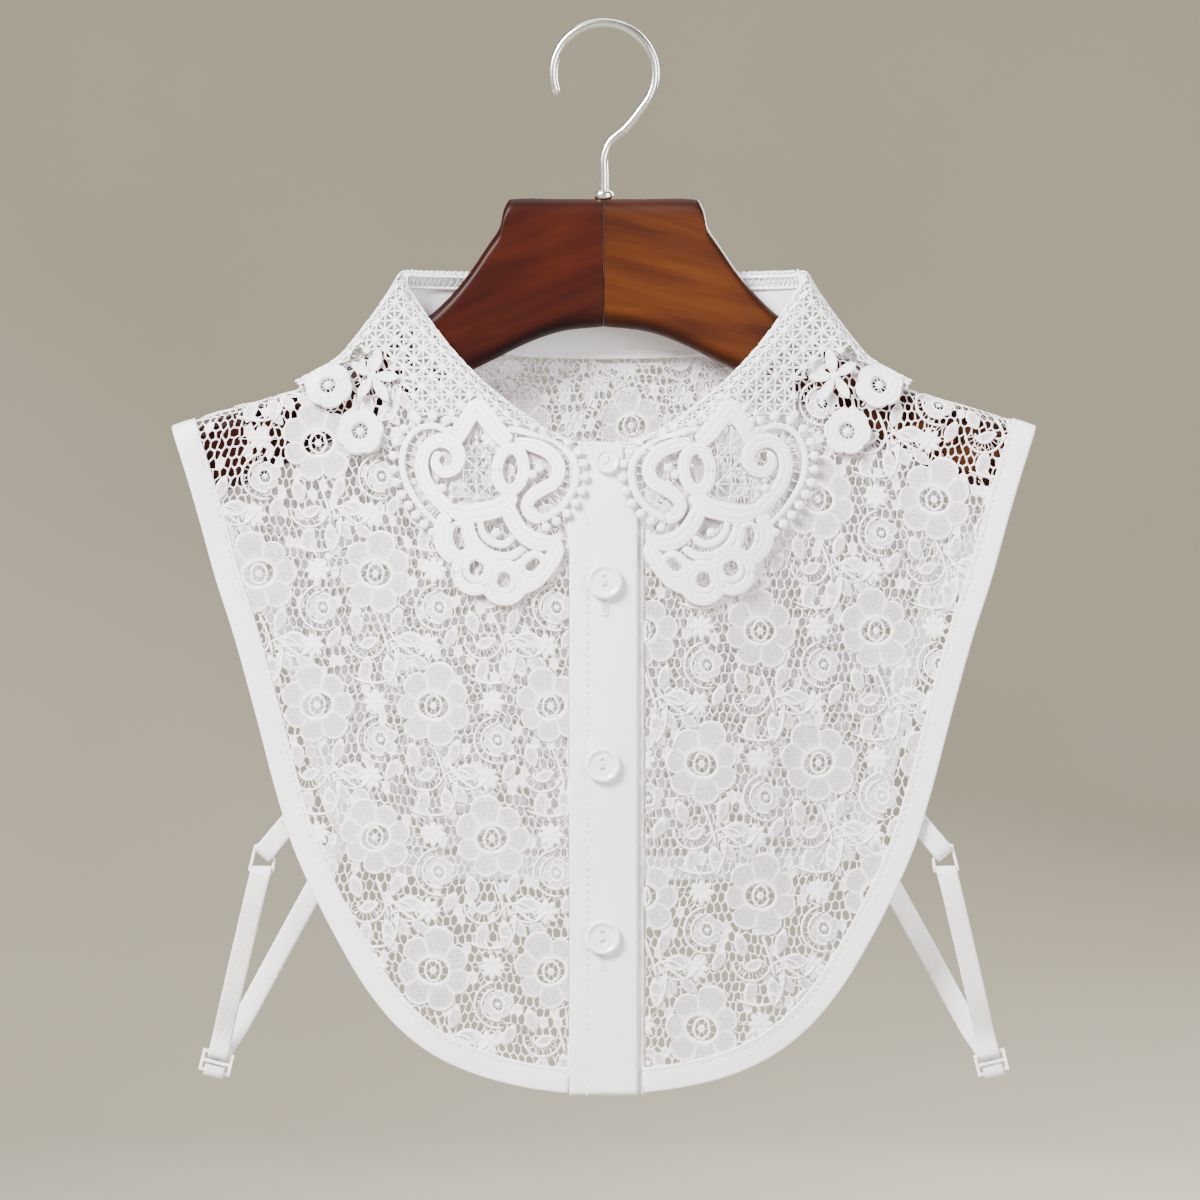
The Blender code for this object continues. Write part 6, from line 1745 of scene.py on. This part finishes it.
def back_outline() -> Array:
    """Return the flat outline of the back's lace, which reaches under its binding."""
    drape = Drape(Side.BACK)
    outer = drape.unroll(moved_line(smooth_line(BACK_EDGE, 6.0), -3.0))
    xs = np.linspace(0.0, outer[0, 0], 60)
    seam = through(column(NECK, 0), column(NECK, 2), xs)
    top = np.where(xs < NECK_POINT_X, np.minimum(seam, drape.ridge_limit(xs)), drape.ridge_limit(xs))
    half = np.vstack([np.column_stack([xs, top]), outer])
    return np.vstack([half, half[::-1] * (-1.0, 1.0)])


def dress_small_parts(plastic: bpy.types.Material) -> None:
    """Round the edges of the plastic sliders, which keep their solids."""
    for side in ("left", "right"):
        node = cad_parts[f"strap_slider_{side}"]
        node.data.materials.clear()
        node.data.materials.append(plastic)
        bevel = node.modifiers.new("soft_edge", "BEVEL")
        bevel.width, bevel.segments, bevel.limit_method = 0.35 * MM, 3, "ANGLE"


def declare_sheets(made: dict[str, bpy.types.Object], lace: dict[str, FloralLace]) -> None:
    """Work out of each sewn piece the size it was cut to, as far as it shows, and the parts that go with it; nothing is
    done with them.
    """
    wood = ["hanger_left_wood", "hanger_right_wood"]
    for name, piece in lace.items():
        piece.declare(made[name], wood, [])
    front, back = Drape(Side.FRONT), Drape(Side.BACK)
    for name, rows, drape, start, copies in (("binding_front_left", FRONT_EDGE, front, -BAND_LEFT, 1),
                                             ("binding_front_right", FRONT_EDGE, front, BAND_RIGHT + 2.6, 1),
                                             ("binding_back", BACK_EDGE, back, 0.0, 2)):
        outer, inner = edge_pair(rows, drape, start)
        length = run_of((outer + inner) / 2)[-1] * copies
        side = name.rsplit("_", 1)[1]
        parts = [] if side == "back" else [made[f"strap_{part}_{side}"] for part in ("tab", "ring", "front", "back")]
        parts += [] if side == "back" else [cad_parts[f"strap_slider_{side}"]]
    for name, width in (("placket", BAND_RIGHT - BAND_LEFT), ("under_placket", UNDER_BAND_RIGHT - UNDER_BAND_LEFT)):
        length = -HEM_Z + NECK[0][1]
    foot, head = HalfShirt(None, None).stand_line()
    width = float(np.mean(np.linalg.norm(head - foot, axis=1)))
    length = float(run_of((foot + head) / 2)[-1])
    for name, drape in (("left", Drape(Side.FRONT, Layer.LEAF)), ("right", Drape(Side.FRONT, Layer.LEAF)),
                        ("back", Drape(Side.BACK, Layer.LEAF))):
        outline = GuipureLeaf(drape).outline()
        size, area = np.ptp(outline, axis=0) * MM, polygon_area(outline) * MM * MM
        if name == "back":
            size, area = size * (2.0, 1.0), area * 2.0
            area = min(area, float(size[0] * size[1]))
        tuple(float(v) for v in size)


def main() -> None:
    """Build every piece in the order that it would be sewn, then the studio."""
    # Each hollow colour holds painted shade and each thread colour painted light; the lace's much greyer hollow is the
    # painted shade seen through it, and the lilac tint is the cloth's own.
    cotton = Cloth("plain_cotton", (0.86, 0.845, 0.88), (0.93, 0.915, 0.945), 0.42, 0.05, 0.5, 0.2).make()
    lace = Cloth("floral_net_lace", (0.61, 0.545, 0.60), (0.94, 0.88, 0.93), 0.9, 0.10, 0.15, 0.25, 1.15).make()
    guipure = Cloth("guipure_cord", (0.90, 0.875, 0.91), (0.97, 0.95, 0.975), 0.50, 0.16, 0.1, 0.3).make()
    plastic = make_plastic()
    made: dict[str, bpy.types.Object] = {}

    # One varnished wood twice: the left half's darker copy is painted shade, the right half's lighter copy painted
    # light; their grain turns differ.
    Hanger(Wood("painted_shade_varnished_wood", (0.013, 0.0008, 0.0001), (0.026, 0.0024, 0.0003), (0.040, 0.0055, 0.0007), -22.0).make(),
           Wood("painted_light_varnished_wood", (0.028, 0.0042, 0.0002), (0.048, 0.0105, 0.0006), (0.068, 0.0175, 0.0014), 13.0).make(),
           make_steel()).build()

    far = 200.0
    lace_pieces = {
        "front_panel_left": FloralLace(Drape(Side.FRONT), front_outline(-1.0), (-67.7, -275.0), (-far, -13.9), 5),
        "front_panel_right": FloralLace(Drape(Side.FRONT), front_outline(1.0), (62.2, -245.3), (16.5, far), 6),
        "back_panel": FloralLace(Drape(Side.BACK), back_outline(), (-12.0, -214.0), (-far, far), 7, True),
    }
    for name, piece in lace_pieces.items():
        made[name] = piece.build(name + "_lace", lace, (name,))

    shirt = HalfShirt(cotton, plastic)
    made |= shirt.bindings()
    made["placket"] = shirt.band("placket", BAND_LEFT, BAND_RIGHT, 0.3, (0.27,))
    made["under_placket"] = shirt.band("under_placket", UNDER_BAND_LEFT, UNDER_BAND_RIGHT, -1.8, (0.94,))
    made["collar_stand"] = shirt.stand()
    buttons = shirt.buttons()

    for side, sign in (("left", -1.0), ("right", 1.0)):
        name = f"collar_leaf_{side}"
        made[name] = GuipureLeaf(Drape(Side.FRONT, Layer.LEAF), sign).build(name + "_guipure", guipure)
        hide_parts(name)
    made["collar_leaf_back"] = GuipureLeaf(Drape(Side.BACK, Layer.LEAF)).build("collar_leaf_back_guipure", guipure)
    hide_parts("collar_leaf_back")

    made |= SideLoops(make_elastic(), plastic).build()
    dress_small_parts(plastic)
    declare_sheets(made, lace_pieces)
    Studio().build()


if __name__ == "__main__":
    logging.basicConfig(level=logging.INFO, format="%(message)s")
    main()
